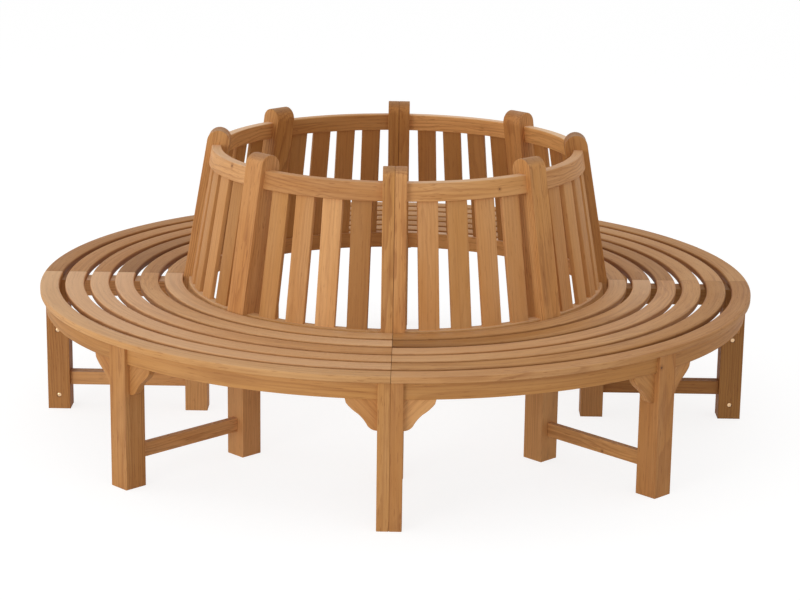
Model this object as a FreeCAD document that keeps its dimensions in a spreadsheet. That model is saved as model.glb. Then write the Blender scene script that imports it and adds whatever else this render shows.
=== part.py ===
"""Round tree bench: four quarter sections of solid wood, bolted together round an open centre.

Eight radial frames carry the ring. Each frame has an outer leg, a back post that runs down to the
floor as the inner leg, a seat bearer and a low stretcher. A quarter section has one whole frame in
its middle and a half frame at each end, and the half frames of neighbouring sections are bolted
face to face. Curved aprons and back rails are tenoned between the frames, six rings of curved
seat slats lie on top, and straight back slats are housed in the leaning rails.

Origin on the floor, on the axis of the tree opening, +Z up. The front seam faces -Y.
Every board is drawn with its radial direction along +X, then turned about +Z to its place.
"""
import FreeCAD, Part
import math
import os
import re

import Sketcher
from FreeCAD import Vector

SECTIONS = {"front_left": -45, "front_right": 45, "back_right": 135, "back_left": -135}
SECTION_ANGLE = 90
BAY_ANGLE = 45
FRONT_ANGLE = -90
SEAT_SLATS = 6
BACK_SLATS = 4

SIZES = [
    ("seat_radius", 1100, "outer edge of the seat"),
    ("seat_height", 440, "floor to the top of the seat"),
    ("bench_height", 900, "floor to the crown of the back posts"),
    ("seat_slat_width", 58, "radial width of a seat slat"),
    ("seat_slat_gap", 18, "gap between seat slats"),
    ("seat_slat_thickness", 19, "seat slat, top to bottom"),
    ("seat_slat_round", 5, "rounding of the seat slats' top edges"),
    ("seam_gap", 1, "gap between the slat ends of two sections"),
    ("leg_size", 70, "side of the square legs and posts"),
    ("leg_setback", 6, "seat edge to the outer face of a leg"),
    ("edge_round", 2, "eased edges of the boards"),
    ("post_clearance", 2, "innermost seat slat to the face of a post"),
    ("lean_angle", 10, "inward lean of the back, degrees"),
    ("apron_height", 50, "height of the curved seat apron"),
    ("apron_thickness", 30, "thickness of the curved seat apron"),
    ("apron_setback", 10, "outer face of a leg to the face of the apron"),
    ("bearer_width", 35, "width of a radial seat bearer"),
    ("bearer_height", 50, "height of a radial seat bearer"),
    ("stretcher_width", 20, "width of a low stretcher"),
    ("stretcher_height", 42, "height of a low stretcher"),
    ("stretcher_level", 76, "floor to the underside of a stretcher"),
    ("rail_height", 53, "height of a back rail, straight up"),
    ("rail_thickness", 30, "thickness of a back rail"),
    ("rail_setback", 16, "outer face of a post to the face of a rail"),
    ("rail_round", 4, "rounding of the back rails' top edges"),
    ("bottom_rail_drop", 1, "seat level down to the top of the bottom rail"),
    ("top_rail_drop", 44, "crown of a post down to the top of the top rail"),
    ("back_slat_width", 60, "width of a back slat"),
    ("back_slat_thickness", 14, "thickness of a back slat"),
    ("back_slat_step", 8.7, "angle from one back slat to the next, degrees"),
    ("housing_depth", 15, "depth of a back slat's end in a rail"),
    ("tenon_thickness", 12, "thickness of a tenon"),
    ("tenon_length", 20, "length of the apron and rail tenons"),
    ("tenon_shoulder", 6, "shoulder above and below a tenon"),
    ("bracket_length", 88, "corner bracket along the apron"),
    ("bracket_drop", 90, "corner bracket down the leg"),
    ("bracket_thickness", 22, "thickness of a corner bracket"),
    ("bracket_setback", 18, "outer face of a leg to the face of a bracket"),
    ("bolt_low", 45, "floor to the low bolts"),
    ("bolt_high", 257, "floor to the high bolts"),
    ("bolt_back", 70, "seat level to the bolts in the back posts, along the lean"),
    ("bolt_head_diameter", 14, "head of a bolt or sleeve nut"),
    ("bolt_head_height", 4, "thickness of those heads"),
    ("bolt_diameter", 6, "shank of a bolt"),
    ("sleeve_diameter", 9, "sleeve of a nut"),
    ("sleeve_length", 30, "length of a nut's sleeve"),
    ("bolt_tip_gap", 2, "end of the bolt to the bottom of the sleeve's bore"),
    ("counterbore_depth", 6, "depth of the recess over a bolt head"),
    ("bore_clearance", 0.25, "clearance round a bolt, nut or screw, on the radius"),
    ("screw_diameter", 5, "shank of a slat screw"),
    ("screw_head_diameter", 9, "head of a slat screw"),
    ("screw_head_height", 4, "height of a slat screw's head"),
    ("screw_recess", 18, "underside of a bearer to the seat of a screw head"),
    ("screw_bite", 12, "length of a screw in the seat slat"),
    ("apron_screw_angle", 13, "middle of a bay to the screws in its apron, degrees"),
]
NAMES = {alias for alias, value, note in SIZES}

# Lower edge of a bracket from its foot on the leg to its tip under the apron: shares of its length
# and drop, then the radius to the next point as a share of its length, with a minus sign if hollow.
BRACKET_EDGE = [("0", "1", "0.37"), ("0.29", "0.86", "-1.28"), ("0.59", "0.48", "1.45"),
                ("0.965", "0.14", None)]
# Least sideways part of the normal of a face that lies across the frame.
ACROSS_FRAME = 0.999

SEAT_UNDERSIDE = "(seat_height - seat_slat_thickness)"
LEG_FACE = "(seat_radius - leg_setback)"
LEG_INSIDE = f"({LEG_FACE} - leg_size)"
LEG_MIDDLE = f"({LEG_FACE} - leg_size / 2)"
SLAT_PITCH = "(seat_slat_width + seat_slat_gap)"
SEAT_INNER_EDGE = f"(seat_radius - {SEAT_SLATS} * {SLAT_PITCH} + seat_slat_gap)"
POST_FACE = f"({SEAT_INNER_EDGE} - post_clearance)"
POST_INSIDE = f"({POST_FACE} - leg_size)"
POST_MIDDLE = f"({POST_FACE} - leg_size / 2)"
APRON_FACE = f"({LEG_FACE} - apron_setback)"
APRON_MIDDLE = f"({APRON_FACE} - apron_thickness / 2)"
APRON_BOTTOM = f"({SEAT_UNDERSIDE} - apron_height)"
BEARER_BOTTOM = f"({SEAT_UNDERSIDE} - bearer_height)"
RAIL_DEPTH = "(rail_setback + rail_thickness / 2)"
CROWN_LEVEL = "(bench_height - leg_size / 2)"
CROWN_REACH = f"(({CROWN_LEVEL} - seat_height + leg_size / 2 * sin(lean_angle)) / cos(lean_angle))"
BOTTOM_RAIL_TOP = "(seat_height - bottom_rail_drop)"
BOTTOM_RAIL_BOTTOM = f"({BOTTOM_RAIL_TOP} - rail_height)"
TOP_RAIL_TOP = "(bench_height - top_rail_drop)"
TOP_RAIL_BOTTOM = f"({TOP_RAIL_TOP} - rail_height)"
GRIP_LENGTH = "(leg_size - 2 * counterbore_depth)"

doc = FreeCAD.newDocument("TreeBench")
sheet = doc.addObject("Spreadsheet::Sheet", "Sizes")


def fill_sheet():
    """One row for each driving size: its word, its value and what it measures."""
    for row, (alias, value, note) in enumerate(SIZES, 1):
        sheet.set(f"A{row}", alias)
        sheet.set(f"B{row}", str(value))
        sheet.set(f"C{row}", note)
        sheet.setAlias(f"B{row}", alias)
    doc.recompute()


def cells(text):
    """The same formula with each size's word pointing at its cell."""
    return re.sub(r"[a-z_]+", lambda word: f"Sizes.{word[0]}" if word[0] in NAMES else word[0], text)


def value_of(text):
    return float(sheet.evalExpression(cells(text)))


def bind(feature, **formulas):
    for name, text in formulas.items():
        feature.setExpression(name, cells(text))
    return feature


def turn(angle):
    return f"placement(vector(0; 0; 0); rotation(vector(0; 0; 1); {angle}))"


def shift(x, y, z):
    return f"placement(vector({x}; {y}; {z}); rotation(vector(0; 0; 1); 0))"


# Along the lean: X points out of the post's outer face, Z runs up the post from seat level.
LEAN = f"placement(vector({POST_FACE}; 0; seat_height); rotation(vector(0; 1; 0); -lean_angle))"
# Along a bolt: Z points across the frame.
ACROSS = "placement(vector(0; 0; 0); rotation(vector(1; 0; 0); -90))"


def lean_point(rise, depth):
    """A point of the radial section, by its rise along the lean and its depth behind the face."""
    radius = f"({POST_FACE} - ({rise}) * sin(lean_angle) - ({depth}) * cos(lean_angle))"
    level = f"(seat_height + ({rise}) * cos(lean_angle) - ({depth}) * sin(lean_angle))"
    return radius, level


def level_point(level, depth):
    """A point of the radial section, by its level and its depth behind the leaning face."""
    return f"({POST_FACE} - ({level} - seat_height) * tan(lean_angle) - ({depth}) / cos(lean_angle))", level


def rise_to(level):
    """The rise along the lean, in the middle of the rails, that reaches a level."""
    return f"(({level} - seat_height + {RAIL_DEPTH} * sin(lean_angle)) / cos(lean_angle))"


def new_body(name):
    return doc.addObject("PartDesign::Body", name)


def origin_feature(body, role):
    return next(item for item in body.Origin.OriginFeatures if item.Role == role)


def box(body, kind, name, at, length, width, height):
    feature = body.newObject(f"PartDesign::{kind}Box", name)
    return bind(feature, Length=length, Width=width, Height=height, Placement=at)


def cylinder(body, kind, name, at, radius, height):
    feature = body.newObject(f"PartDesign::{kind}Cylinder", name)
    return bind(feature, Radius=radius, Height=height, Placement=at)


def arc_between(start, end, radius, convex):
    """The short arc of a radius from one point to the next, in a counter-clockwise outline."""
    chord = end - start
    inward = Vector(-chord.y, chord.x, 0).normalize()
    side = 1 if convex else -1
    rise = math.sqrt(max(radius ** 2 - chord.Length ** 2 / 4, 0))
    centre = (start + end) * 0.5 + inward * (rise * side)
    first, last = (start, end) if convex else (end, start)
    angles = [math.atan2(point.y - centre.y, point.x - centre.x) for point in (first, last)]
    circle = Part.Circle(centre, Vector(0, 0, 1), radius)
    return Part.ArcOfCircle(circle, angles[0], angles[1])


def outline(body, name, plane, corners):
    """A closed counter-clockwise sketch through corners (x, y, radius of the edge to the next).

    A straight edge has radius None, and a radius that starts with a minus sign curves inwards.
    """
    sketch = body.newObject("Sketcher::SketchObject", name)
    sketch.AttachmentSupport = [(origin_feature(body, plane), "")]
    sketch.MapMode = "FlatFace"
    points = [Vector(value_of(x), value_of(y), 0) for x, y, radius in corners]
    count = len(corners)
    ends = []
    for index, (x, y, radius) in enumerate(corners):
        start, end = points[index], points[(index + 1) % count]
        if radius is None:
            sketch.addGeometry(Part.LineSegment(start, end), False)
            ends.append((1, 2))
        else:
            convex = not radius.startswith("-")
            arc = arc_between(start, end, value_of(radius.lstrip("-")), convex)
            sketch.addGeometry(arc, False)
            ends.append((1, 2) if convex else (2, 1))
    for index in range(count):
        following = (index + 1) % count
        sketch.addConstraint(
            Sketcher.Constraint("Coincident", index, ends[index][1], following, ends[following][0]))
    for index, (x, y, radius) in enumerate(corners):
        point = (-1, 1, index, ends[index][0])
        hold(sketch, "DistanceX", point, x, points[index].x)
        hold(sketch, "DistanceY", point, y, points[index].y)
        if radius is not None:
            text = radius.lstrip("-")
            hold(sketch, "Radius", (index,), text, value_of(text))
    return sketch


def hold(sketch, kind, geometry, text, value):
    """A sketch dimension that follows its formula, or lies on an axis where the formula is 0."""
    if text == "0":
        axis = {"DistanceX": -2, "DistanceY": -1}[kind]
        sketch.addConstraint(Sketcher.Constraint("PointOnObject", geometry[2], geometry[3], axis))
        return
    number = sketch.addConstraint(Sketcher.Constraint(kind, *geometry, value))
    sketch.setExpression(f"Constraints[{number}]", cells(text))


def rounded_section(across, along, low_round, high_round, place):
    """Corners of a rectangle with its four corners rounded, mapped by place(across, along)."""
    left, right = across
    bottom, top = along
    path = [
        (f"{left} + {low_round}", bottom, None), (f"{right} - {low_round}", bottom, low_round),
        (right, f"{bottom} + {low_round}", None), (right, f"{top} - {high_round}", high_round),
        (f"{right} - {high_round}", top, None), (f"{left} + {high_round}", top, high_round),
        (left, f"{top} - {high_round}", None), (left, f"{bottom} + {low_round}", low_round),
    ]
    return [(*place(x, y), radius) for x, y, radius in path]


def sweep_round(body, corners, angle):
    """A curved board: its section turned about the bench's axis, half to each side of +X."""
    profile = outline(body, "Section", "XZ_Plane", corners)
    ring = body.newObject("PartDesign::Revolution", "Ring")
    ring.Profile = profile
    ring.ReferenceAxis = (origin_feature(body, "Z_Axis"), [""])
    ring.Angle = angle
    ring.Midplane = True
    return ring


def trim_ends(body, angle, clearance):
    """Cuts both ends flat, parallel to the frames at each end and a clearance away from them."""
    reach = "(seat_radius + leg_size)"
    for side, start in ((1, f"(0 - {clearance})"), (-1, f"({clearance} - leg_size)")):
        at = f"{turn(side * angle / 2)} * {shift('0', start, '0')}"
        name = "TrimLeft" if side > 0 else "TrimRight"
        box(body, "Subtractive", name, at, reach, "leg_size", "bench_height")


def ease_edges(body, feature):
    """Rounds the outlines of the two faces that lie across the frame."""
    doc.recompute()
    faces = []
    for number, face in enumerate(feature.Shape.Faces, 1):
        normal = face.normalAt(0, 0)
        if abs(normal.y) > ACROSS_FRAME:
            faces.append(f"Face{number}")
    eased = body.newObject("PartDesign::Fillet", "EasedEdges")
    eased.Base = (feature, faces)
    return bind(eased, Radius="edge_round")


def mirrored(source, name):
    """The other hand of a board, across the middle plane of its frame."""
    other = doc.addObject("Part::Mirroring", name)
    other.Source = source
    other.Normal = (0, 1, 0)
    return other


def seat_slat(number):
    """A quarter ring of the seat, counted from the outer edge."""
    body = new_body(f"SeatSlat{number}")
    outer = f"(seat_radius - {number - 1} * {SLAT_PITCH})"
    inner = f"({outer} - seat_slat_width)"
    section = rounded_section((inner, outer), (SEAT_UNDERSIDE, "seat_height"),
                              "edge_round", "seat_slat_round", lambda x, y: (x, y))
    sweep_round(body, section, SECTION_ANGLE)
    trim_ends(body, SECTION_ANGLE, "seam_gap / 2")
    for index, (at, level) in enumerate(slat_screw_places(number), 1):
        cylinder(body, "Subtractive", f"Pilot{index}", f"{at} * {shift('0', '0', SEAT_UNDERSIDE)}",
                 "screw_diameter / 2", "screw_bite")
    return body


def slat_screw_places(number):
    """Where the screws of one seat slat stand in its section, and the face their recess is in.

    The outermost slat is held from below through the aprons, the others through the bearers.
    """
    if number == 1:
        angles = [side * BAY_ANGLE / 2 for side in (-1, 1)]
        return [(f"{turn(f'({middle} + {side} * apron_screw_angle)')} * {shift(APRON_MIDDLE, '0', '0')}",
                 APRON_BOTTOM) for middle in angles for side in (-1, 1)]
    radius = f"(seat_radius - {number - 1} * {SLAT_PITCH} - seat_slat_width / 2)"
    return [(f"{turn(angle)} * {shift(radius, offset, '0')}", BEARER_BOTTOM)
            for angle, offset in bearer_places()]


def bearer_places():
    """Angle and sideways offset of a section's three bearers."""
    edge = SECTION_ANGLE / 2
    return [(-edge, "bearer_width / 2"), (0, "0"), (edge, "(0 - bearer_width / 2)")]


def stretcher_places():
    edge = SECTION_ANGLE / 2
    return [(-edge, "stretcher_width / 2"), (0, "0"), (edge, "(0 - stretcher_width / 2)")]


def apron():
    """A curved board under the seat's edge, tenoned between two outer legs."""
    body = new_body("Apron")
    inner = f"({APRON_FACE} - apron_thickness)"
    section = rounded_section((inner, APRON_FACE), (APRON_BOTTOM, SEAT_UNDERSIDE),
                              "edge_round", "edge_round", lambda x, y: (x, y))
    sweep_round(body, section, BAY_ANGLE)
    trim_ends(body, BAY_ANGLE, "leg_size / 2")
    for side, name in ((1, "TenonLeft"), (-1, "TenonRight")):
        at = f"{turn(side * BAY_ANGLE / 2)} * {apron_tenon_place(-side)}"
        box(body, "Additive", name, at, "tenon_thickness", "tenon_length",
            "apron_height - 2 * tenon_shoulder")
    for side, name in ((1, "ScrewLeft"), (-1, "ScrewRight")):
        at = f"{turn(f'({side} * apron_screw_angle)')} * {shift(APRON_MIDDLE, '0', APRON_BOTTOM)}"
        screw_bore(body, name, at, "apron_height")
    return body


def apron_tenon_place(side):
    """The low corner of an apron's tenon, seen from the leg that it enters on this side."""
    start = "(leg_size / 2 - tenon_length)" if side > 0 else "(0 - leg_size / 2)"
    return shift(f"({APRON_MIDDLE} - tenon_thickness / 2)", start, f"({APRON_BOTTOM} + tenon_shoulder)")


def screw_bore(body, name, at, board_height):
    """A clearance hole through a board with a deep recess for the screw's head below."""
    cylinder(body, "Subtractive", name, at, "screw_diameter / 2 + bore_clearance", board_height)
    cylinder(body, "Subtractive", f"{name}Recess", at, "screw_head_diameter / 2 + bore_clearance",
             "screw_recess")


def back_rail(name, bottom, top, slat_side):
    """A curved rail of the back, tenoned between two posts, with the slats let in.

    It is sawn from a level plank with its two faces at the lean. The housings are cut from one
    housing depth inside the slats' side of the rail to one outside it.
    """
    body = new_body(name)
    depths = ("(0 - rail_setback - rail_thickness)", "(0 - rail_setback)")
    section = rounded_section(depths, (bottom, top), "edge_round", "rail_round",
                              lambda x, y: level_point(y, f"(0 - ({x}))"))
    sweep_round(body, section, BAY_ANGLE)
    trim_ends(body, BAY_ANGLE, "leg_size / 2")
    for side, label in ((1, "TenonLeft"), (-1, "TenonRight")):
        at = f"{turn(side * BAY_ANGLE / 2)} * {rail_tenon_place(-side, bottom)}"
        box(body, "Additive", label, at, "tenon_thickness", "tenon_length",
            "rail_height - 2 * tenon_shoulder")
    for index, step in enumerate(back_slat_steps(), 1):
        at = f"{turn(step)} * {back_slat_place(f'({rise_to(slat_side)} - housing_depth)')}"
        box(body, "Subtractive", f"Housing{index}", at, "back_slat_thickness", "back_slat_width",
            "2 * housing_depth")
    return body


def rail_tenon_place(side, bottom):
    """The low corner of a rail's tenon, seen from the post that it enters on this side."""
    start = "(leg_size / 2 - tenon_length)" if side > 0 else "(0 - leg_size / 2)"
    corner = shift(f"(0 - {RAIL_DEPTH} - tenon_thickness / 2)", start,
                   f"({rise_to(bottom)} + tenon_shoulder)")
    return f"{LEAN} * {corner}"


def back_slat_steps():
    """Angles of a bay's back slats from the middle of the bay."""
    middle = (BACK_SLATS - 1) / 2
    return [f"({index - middle} * back_slat_step)" for index in range(BACK_SLATS)]


def back_slat_place(rise):
    """The low corner of a back slat, or of its housing, at a rise along the lean."""
    corner = shift(f"(0 - {RAIL_DEPTH} - back_slat_thickness / 2)", "(0 - back_slat_width / 2)", rise)
    return f"{LEAN} * {corner}"


def back_slat():
    """A flat upright board, housed in the bottom and the top rail."""
    body = new_body("BackSlat")
    low_end = f"({rise_to(BOTTOM_RAIL_TOP)} - housing_depth)"
    length = f"({rise_to(TOP_RAIL_BOTTOM)} + housing_depth - {low_end})"
    board = box(body, "Additive", "Board", back_slat_place(low_end), "back_slat_thickness",
                "back_slat_width", length)
    doc.recompute()
    long_edges = []
    for number, edge in enumerate(board.Shape.Edges, 1):
        if edge.Length > value_of(length) / 2:
            long_edges.append(f"Edge{number}")
    eased = body.newObject("PartDesign::Fillet", "EasedEdges")
    eased.Base = (board, long_edges)
    bind(eased, Radius="edge_round")
    return body


def cross_board(name, width, height, bottom, tenon):
    """A straight radial board between a post and an outer leg, tenoned into both."""
    body = new_body(name)
    board = box(body, "Additive", "Board", shift(POST_FACE, f"(0 - {width} / 2)", bottom),
                f"({LEG_INSIDE} - {POST_FACE})", width, height)
    ease_edges(body, board)
    box(body, "Additive", "Tenons", cross_tenon_place(f"({POST_FACE} - {tenon})", "0", width, bottom),
        f"({LEG_INSIDE} - {POST_FACE} + 2 * {tenon})", f"{width} / 2", f"({height} - 2 * tenon_shoulder)")
    return body


def cross_tenon_place(radius, offset, width, bottom):
    """The low corner of a straight board's tenon: half as thick as the board, in its middle."""
    return shift(radius, f"({offset} - {width} / 4)", f"({bottom} + tenon_shoulder)")


def seat_bearer():
    """A radial board that carries the seat slats."""
    body = cross_board("SeatBearer", "bearer_width", "bearer_height", BEARER_BOTTOM, "rail_setback")
    for number in range(2, SEAT_SLATS + 1):
        radius = f"(seat_radius - {number - 1} * {SLAT_PITCH} - seat_slat_width / 2)"
        screw_bore(body, f"Screw{number}", shift(radius, "0", BEARER_BOTTOM), "bearer_height")
    return body


def stretcher():
    """A low radial board between an outer leg and an inner leg."""
    return cross_board("Stretcher", "stretcher_width", "stretcher_height", "stretcher_level",
                       "rail_setback")


def bolt_bores(body, places):
    """Bores across a half frame, each with a recess in the outer side for the bolt's head."""
    for index, place in enumerate(places, 1):
        bore = f"{place} * {ACROSS}"
        cylinder(body, "Subtractive", f"Bolt{index}", bore, "sleeve_diameter / 2 + bore_clearance",
                 "leg_size / 2")
        recess = f"{place} * {shift('0', '(leg_size / 2 - counterbore_depth)', '0')} * {ACROSS}"
        cylinder(body, "Subtractive", f"Recess{index}", recess,
                 "bolt_head_diameter / 2 + bore_clearance", "counterbore_depth")


def leg_bolt_places():
    return [shift(LEG_MIDDLE, "0", level) for level in ("bolt_low", "bolt_high")]


def post_bolt_places():
    return [shift(POST_MIDDLE, "0", "bolt_high"),
            f"{LEAN} * {shift('(0 - leg_size / 2)', '0', 'bolt_back')}"]


def outer_leg(name, halved):
    """A square leg under the seat's edge, or the half of it that belongs to one section."""
    body = new_body(name)
    width = "leg_size / 2" if halved else "leg_size"
    start = "0" if halved else "(0 - leg_size / 2)"
    post = box(body, "Additive", "Post", shift(LEG_INSIDE, start, "0"), "leg_size", width,
               SEAT_UNDERSIDE)
    ease_edges(body, post)
    for side in (1,) if halved else (1, -1):
        box(body, "Subtractive", "ApronLeft" if side > 0 else "ApronRight", apron_tenon_place(side),
            "tenon_thickness", "tenon_length", "apron_height - 2 * tenon_shoulder")
    cross_mortises(body, LEG_INSIDE, halved)
    if halved:
        bolt_bores(body, leg_bolt_places())
    return body


def cross_mortises(body, radius, halved):
    """Mortises for the bearer's and the stretcher's tenons, from a radius outwards."""
    boards = (("Bearer", "bearer_width", "bearer_height", BEARER_BOTTOM),
              ("Stretcher", "stretcher_width", "stretcher_height", "stretcher_level"))
    for name, width, height, bottom in boards:
        offset = f"{width} / 2" if halved else "0"
        box(body, "Subtractive", f"{name}Mortise", cross_tenon_place(radius, offset, width, bottom),
            "rail_setback", f"{width} / 2", f"({height} - 2 * tenon_shoulder)")


def back_post(name, halved):
    """Inner leg and back post in one board: upright to the seat, then leaning, with a round top."""
    body = new_body(name)
    crown = lean_point(CROWN_REACH, "0")
    top = lean_point(f"({CROWN_REACH} + leg_size / 2)", "leg_size / 2")
    inside = lean_point(CROWN_REACH, "leg_size")
    knee = (POST_INSIDE, "(seat_height - leg_size * tan(lean_angle / 2))")
    corners = [
        (POST_INSIDE, "0", None), (POST_FACE, "0", None), (POST_FACE, "seat_height", None),
        (*crown, "leg_size / 2"), (*top, "leg_size / 2"), (*inside, None), (*knee, None),
    ]
    profile = outline(body, "Side", "XZ_Plane", corners)
    pad = body.newObject("PartDesign::Pad", "Post")
    pad.Profile = profile
    pad.Midplane = not halved
    pad.Reversed = halved
    bind(pad, Length="leg_size / 2" if halved else "leg_size")
    ease_edges(body, pad)
    for side in (1,) if halved else (1, -1):
        for label, bottom in (("Bottom", BOTTOM_RAIL_BOTTOM), ("Top", TOP_RAIL_BOTTOM)):
            hand = "Left" if side > 0 else "Right"
            box(body, "Subtractive", f"{label}Rail{hand}", rail_tenon_place(side, bottom),
                "tenon_thickness", "tenon_length", "rail_height - 2 * tenon_shoulder")
    cross_mortises(body, f"({POST_FACE} - rail_setback)", halved)
    if halved:
        bolt_bores(body, post_bolt_places())
    return body


def bracket():
    """An ogee corner bracket between a leg and the apron, on the leg's left side."""
    body = new_body("Bracket")
    leg_side = "(leg_size / 2)"
    corners = []
    for along, down, radius in BRACKET_EDGE:
        bend = radius and f"{radius} * bracket_length"
        corners.append((f"({leg_side} + {along} * bracket_length)",
                        f"({APRON_BOTTOM} - {down} * bracket_drop)", bend))
    corners.append((f"({leg_side} + bracket_length)", APRON_BOTTOM, None))
    corners.append((leg_side, APRON_BOTTOM, None))
    profile = outline(body, "Face", "YZ_Plane", corners)
    bind(profile, **{"AttachmentOffset.Base.z": f"({LEG_FACE} - bracket_setback - bracket_thickness)"})
    pad = body.newObject("PartDesign::Pad", "Board")
    pad.Profile = profile
    bind(pad, Length="bracket_thickness")
    return body


def section_bolt():
    """A connector bolt: flat head in the recess, shank across the seam."""
    body = new_body("SectionBolt")
    head_seat = "(leg_size / 2 - counterbore_depth)"
    shank = f"({GRIP_LENGTH} - sleeve_length / 2)"
    cylinder(body, "Additive", "Head", f"{shift('0', head_seat, '0')} * {ACROSS}",
             "bolt_head_diameter / 2", "bolt_head_height")
    cylinder(body, "Additive", "Shank", f"{shift('0', f'({head_seat} - {shank})', '0')} * {ACROSS}",
             "bolt_diameter / 2", shank)
    return body


def sleeve_nut():
    """The bolt's partner: a flat head with a threaded sleeve."""
    body = new_body("SleeveNut")
    head_seat = "(counterbore_depth - leg_size / 2)"
    head_start = f"({head_seat} - bolt_head_height)"
    cylinder(body, "Additive", "Head", f"{shift('0', head_start, '0')} * {ACROSS}",
             "bolt_head_diameter / 2", "bolt_head_height")
    cylinder(body, "Additive", "Sleeve", f"{shift('0', head_seat, '0')} * {ACROSS}",
             "sleeve_diameter / 2", "sleeve_length")
    bore_start = f"({head_seat} + sleeve_length / 2 - bolt_tip_gap)"
    cylinder(body, "Subtractive", "Bore", f"{shift('0', bore_start, '0')} * {ACROSS}",
             "bolt_diameter / 2", "(sleeve_length / 2 + bolt_tip_gap)")
    return body


def slat_screw(name, bottom):
    """A wood screw that stands in the recess of a board and holds a seat slat from below."""
    body = new_body(name)
    seat = f"({bottom} + screw_recess)"
    cylinder(body, "Additive", "Head", shift("0", "0", f"({seat} - screw_head_height)"),
             "screw_head_diameter / 2", "screw_head_height")
    cylinder(body, "Additive", "Shank", shift("0", "0", seat), "screw_diameter / 2",
             f"({SEAT_UNDERSIDE} + screw_bite - {seat})")
    return body


def node(label, copies):
    """One named sub-part: its boards or fasteners, each a linked copy at its own place."""
    links = []
    for number, (source, at) in enumerate(copies, 1):
        link = doc.addObject("App::Link", f"{label}_copy_{number}")
        link.LinkedObject = source
        links.append(bind(link, Placement=at))
    group = doc.addObject("Part::Compound", label)
    group.Label = label
    group.Links = links
    return group


def build_boards():
    """One board of each kind, drawn once and copied round the bench."""
    boards = {f"seat_slat_{number}": seat_slat(number) for number in range(1, SEAT_SLATS + 1)}
    boards["apron"] = apron()
    boards["bottom_rail"] = back_rail("BottomRail", BOTTOM_RAIL_BOTTOM, BOTTOM_RAIL_TOP,
                                      BOTTOM_RAIL_TOP)
    boards["top_rail"] = back_rail("TopRail", TOP_RAIL_BOTTOM, TOP_RAIL_TOP, TOP_RAIL_BOTTOM)
    boards["back_slat"] = back_slat()
    boards["bearer"] = seat_bearer()
    boards["stretcher"] = stretcher()
    boards["leg"] = outer_leg("OuterLeg", halved=False)
    boards["half_leg"] = outer_leg("HalfLeg", halved=True)
    boards["other_half_leg"] = mirrored(boards["half_leg"], "OtherHalfLeg")
    boards["post"] = back_post("BackPost", halved=False)
    boards["half_post"] = back_post("HalfPost", halved=True)
    boards["other_half_post"] = mirrored(boards["half_post"], "OtherHalfPost")
    boards["bracket"] = bracket()
    boards["other_bracket"] = mirrored(boards["bracket"], "OtherBracket")
    return boards


def section_nodes(name, centre, boards):
    """The sub-parts of one quarter section, turned to the section's middle."""
    heading = centre + FRONT_ANGLE
    edge = SECTION_ANGLE / 2
    bays = [heading + side * BAY_ANGLE / 2 for side in (-1, 1)]
    ends = (heading - edge, heading, heading + edge)
    nodes = [node(f"{name}_seat_slat_{number}", [(boards[f"seat_slat_{number}"], turn(heading))])
             for number in range(1, SEAT_SLATS + 1)]
    for label, kinds in (("outer_legs", ("half_leg", "leg", "other_half_leg")),
                         ("back_posts", ("half_post", "post", "other_half_post"))):
        nodes.append(node(f"{name}_{label}",
                          [(boards[kind], turn(angle)) for kind, angle in zip(kinds, ends)]))
    for label, kind, places in (("seat_bearers", "bearer", bearer_places()),
                                ("stretchers", "stretcher", stretcher_places())):
        copies = [(boards[kind], f"{turn(heading + angle)} * {shift('0', offset, '0')}")
                  for angle, offset in places]
        nodes.append(node(f"{name}_{label}", copies))
    nodes.append(node(f"{name}_aprons", [(boards["apron"], turn(bay)) for bay in bays]))
    nodes.append(node(f"{name}_back_rails", [(boards[kind], turn(bay)) for bay in bays
                                            for kind in ("bottom_rail", "top_rail")]))
    nodes.append(node(f"{name}_back_slats", [(boards["back_slat"], f"{turn(bay)} * {turn(step)}")
                                            for bay in bays for step in back_slat_steps()]))
    brackets = (("bracket", ends[0]), ("other_bracket", ends[1]), ("bracket", ends[1]),
                ("other_bracket", ends[2]))
    nodes.append(node(f"{name}_brackets", [(boards[kind], turn(angle)) for kind, angle in brackets]))
    return nodes


def fastener_nodes():
    """Connector bolts and sleeve nuts at the four seams, and the screws under the seat."""
    bolt, nut = section_bolt(), sleeve_nut()
    seams = [FRONT_ANGLE + SECTION_ANGLE * index for index in range(len(SECTIONS))]
    bores = leg_bolt_places() + post_bolt_places()
    places = [f"{turn(seam)} * {bore}" for seam in seams for bore in bores]
    bearer_screw = slat_screw("BearerScrew", BEARER_BOTTOM)
    apron_screw = slat_screw("ApronScrew", APRON_BOTTOM)
    screws = []
    for centre in SECTIONS.values():
        for number in range(1, SEAT_SLATS + 1):
            source = apron_screw if number == 1 else bearer_screw
            screws += [(source, f"{turn(centre + FRONT_ANGLE)} * {at}")
                       for at, bottom in slat_screw_places(number)]
    return [node("section_bolts", [(bolt, place) for place in places]),
            node("sleeve_nuts", [(nut, place) for place in places]),
            node("slat_screws", screws)]


def check(nodes):
    """Stops before anything is written if a feature failed or a solid is missing or broken."""
    for item in doc.Objects:
        if "Invalid" in item.State or "Error" in item.State:
            raise RuntimeError(f"{item.Label} failed: {item.State}")
    for item in nodes:
        if item.Shape.isNull() or not item.Shape.isValid():
            raise RuntimeError(f"{item.Label} has no valid shape")
        if len(item.Shape.Solids) != len(item.Links):
            raise RuntimeError(f"{item.Label} has {len(item.Shape.Solids)} solids")


fill_sheet()
kinds = build_boards()
all_nodes = []
for section, middle in SECTIONS.items():
    all_nodes += section_nodes(section, middle, kinds)
all_nodes += fastener_nodes()
doc.recompute()
check(all_nodes)
os.makedirs("parts", exist_ok=True)
for item in all_nodes:
    item.Shape.exportStep(f"parts/{item.Label}.step")
print(len(all_nodes), "nodes,", sum(len(item.Shape.Solids) for item in all_nodes), "solids")
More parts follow.
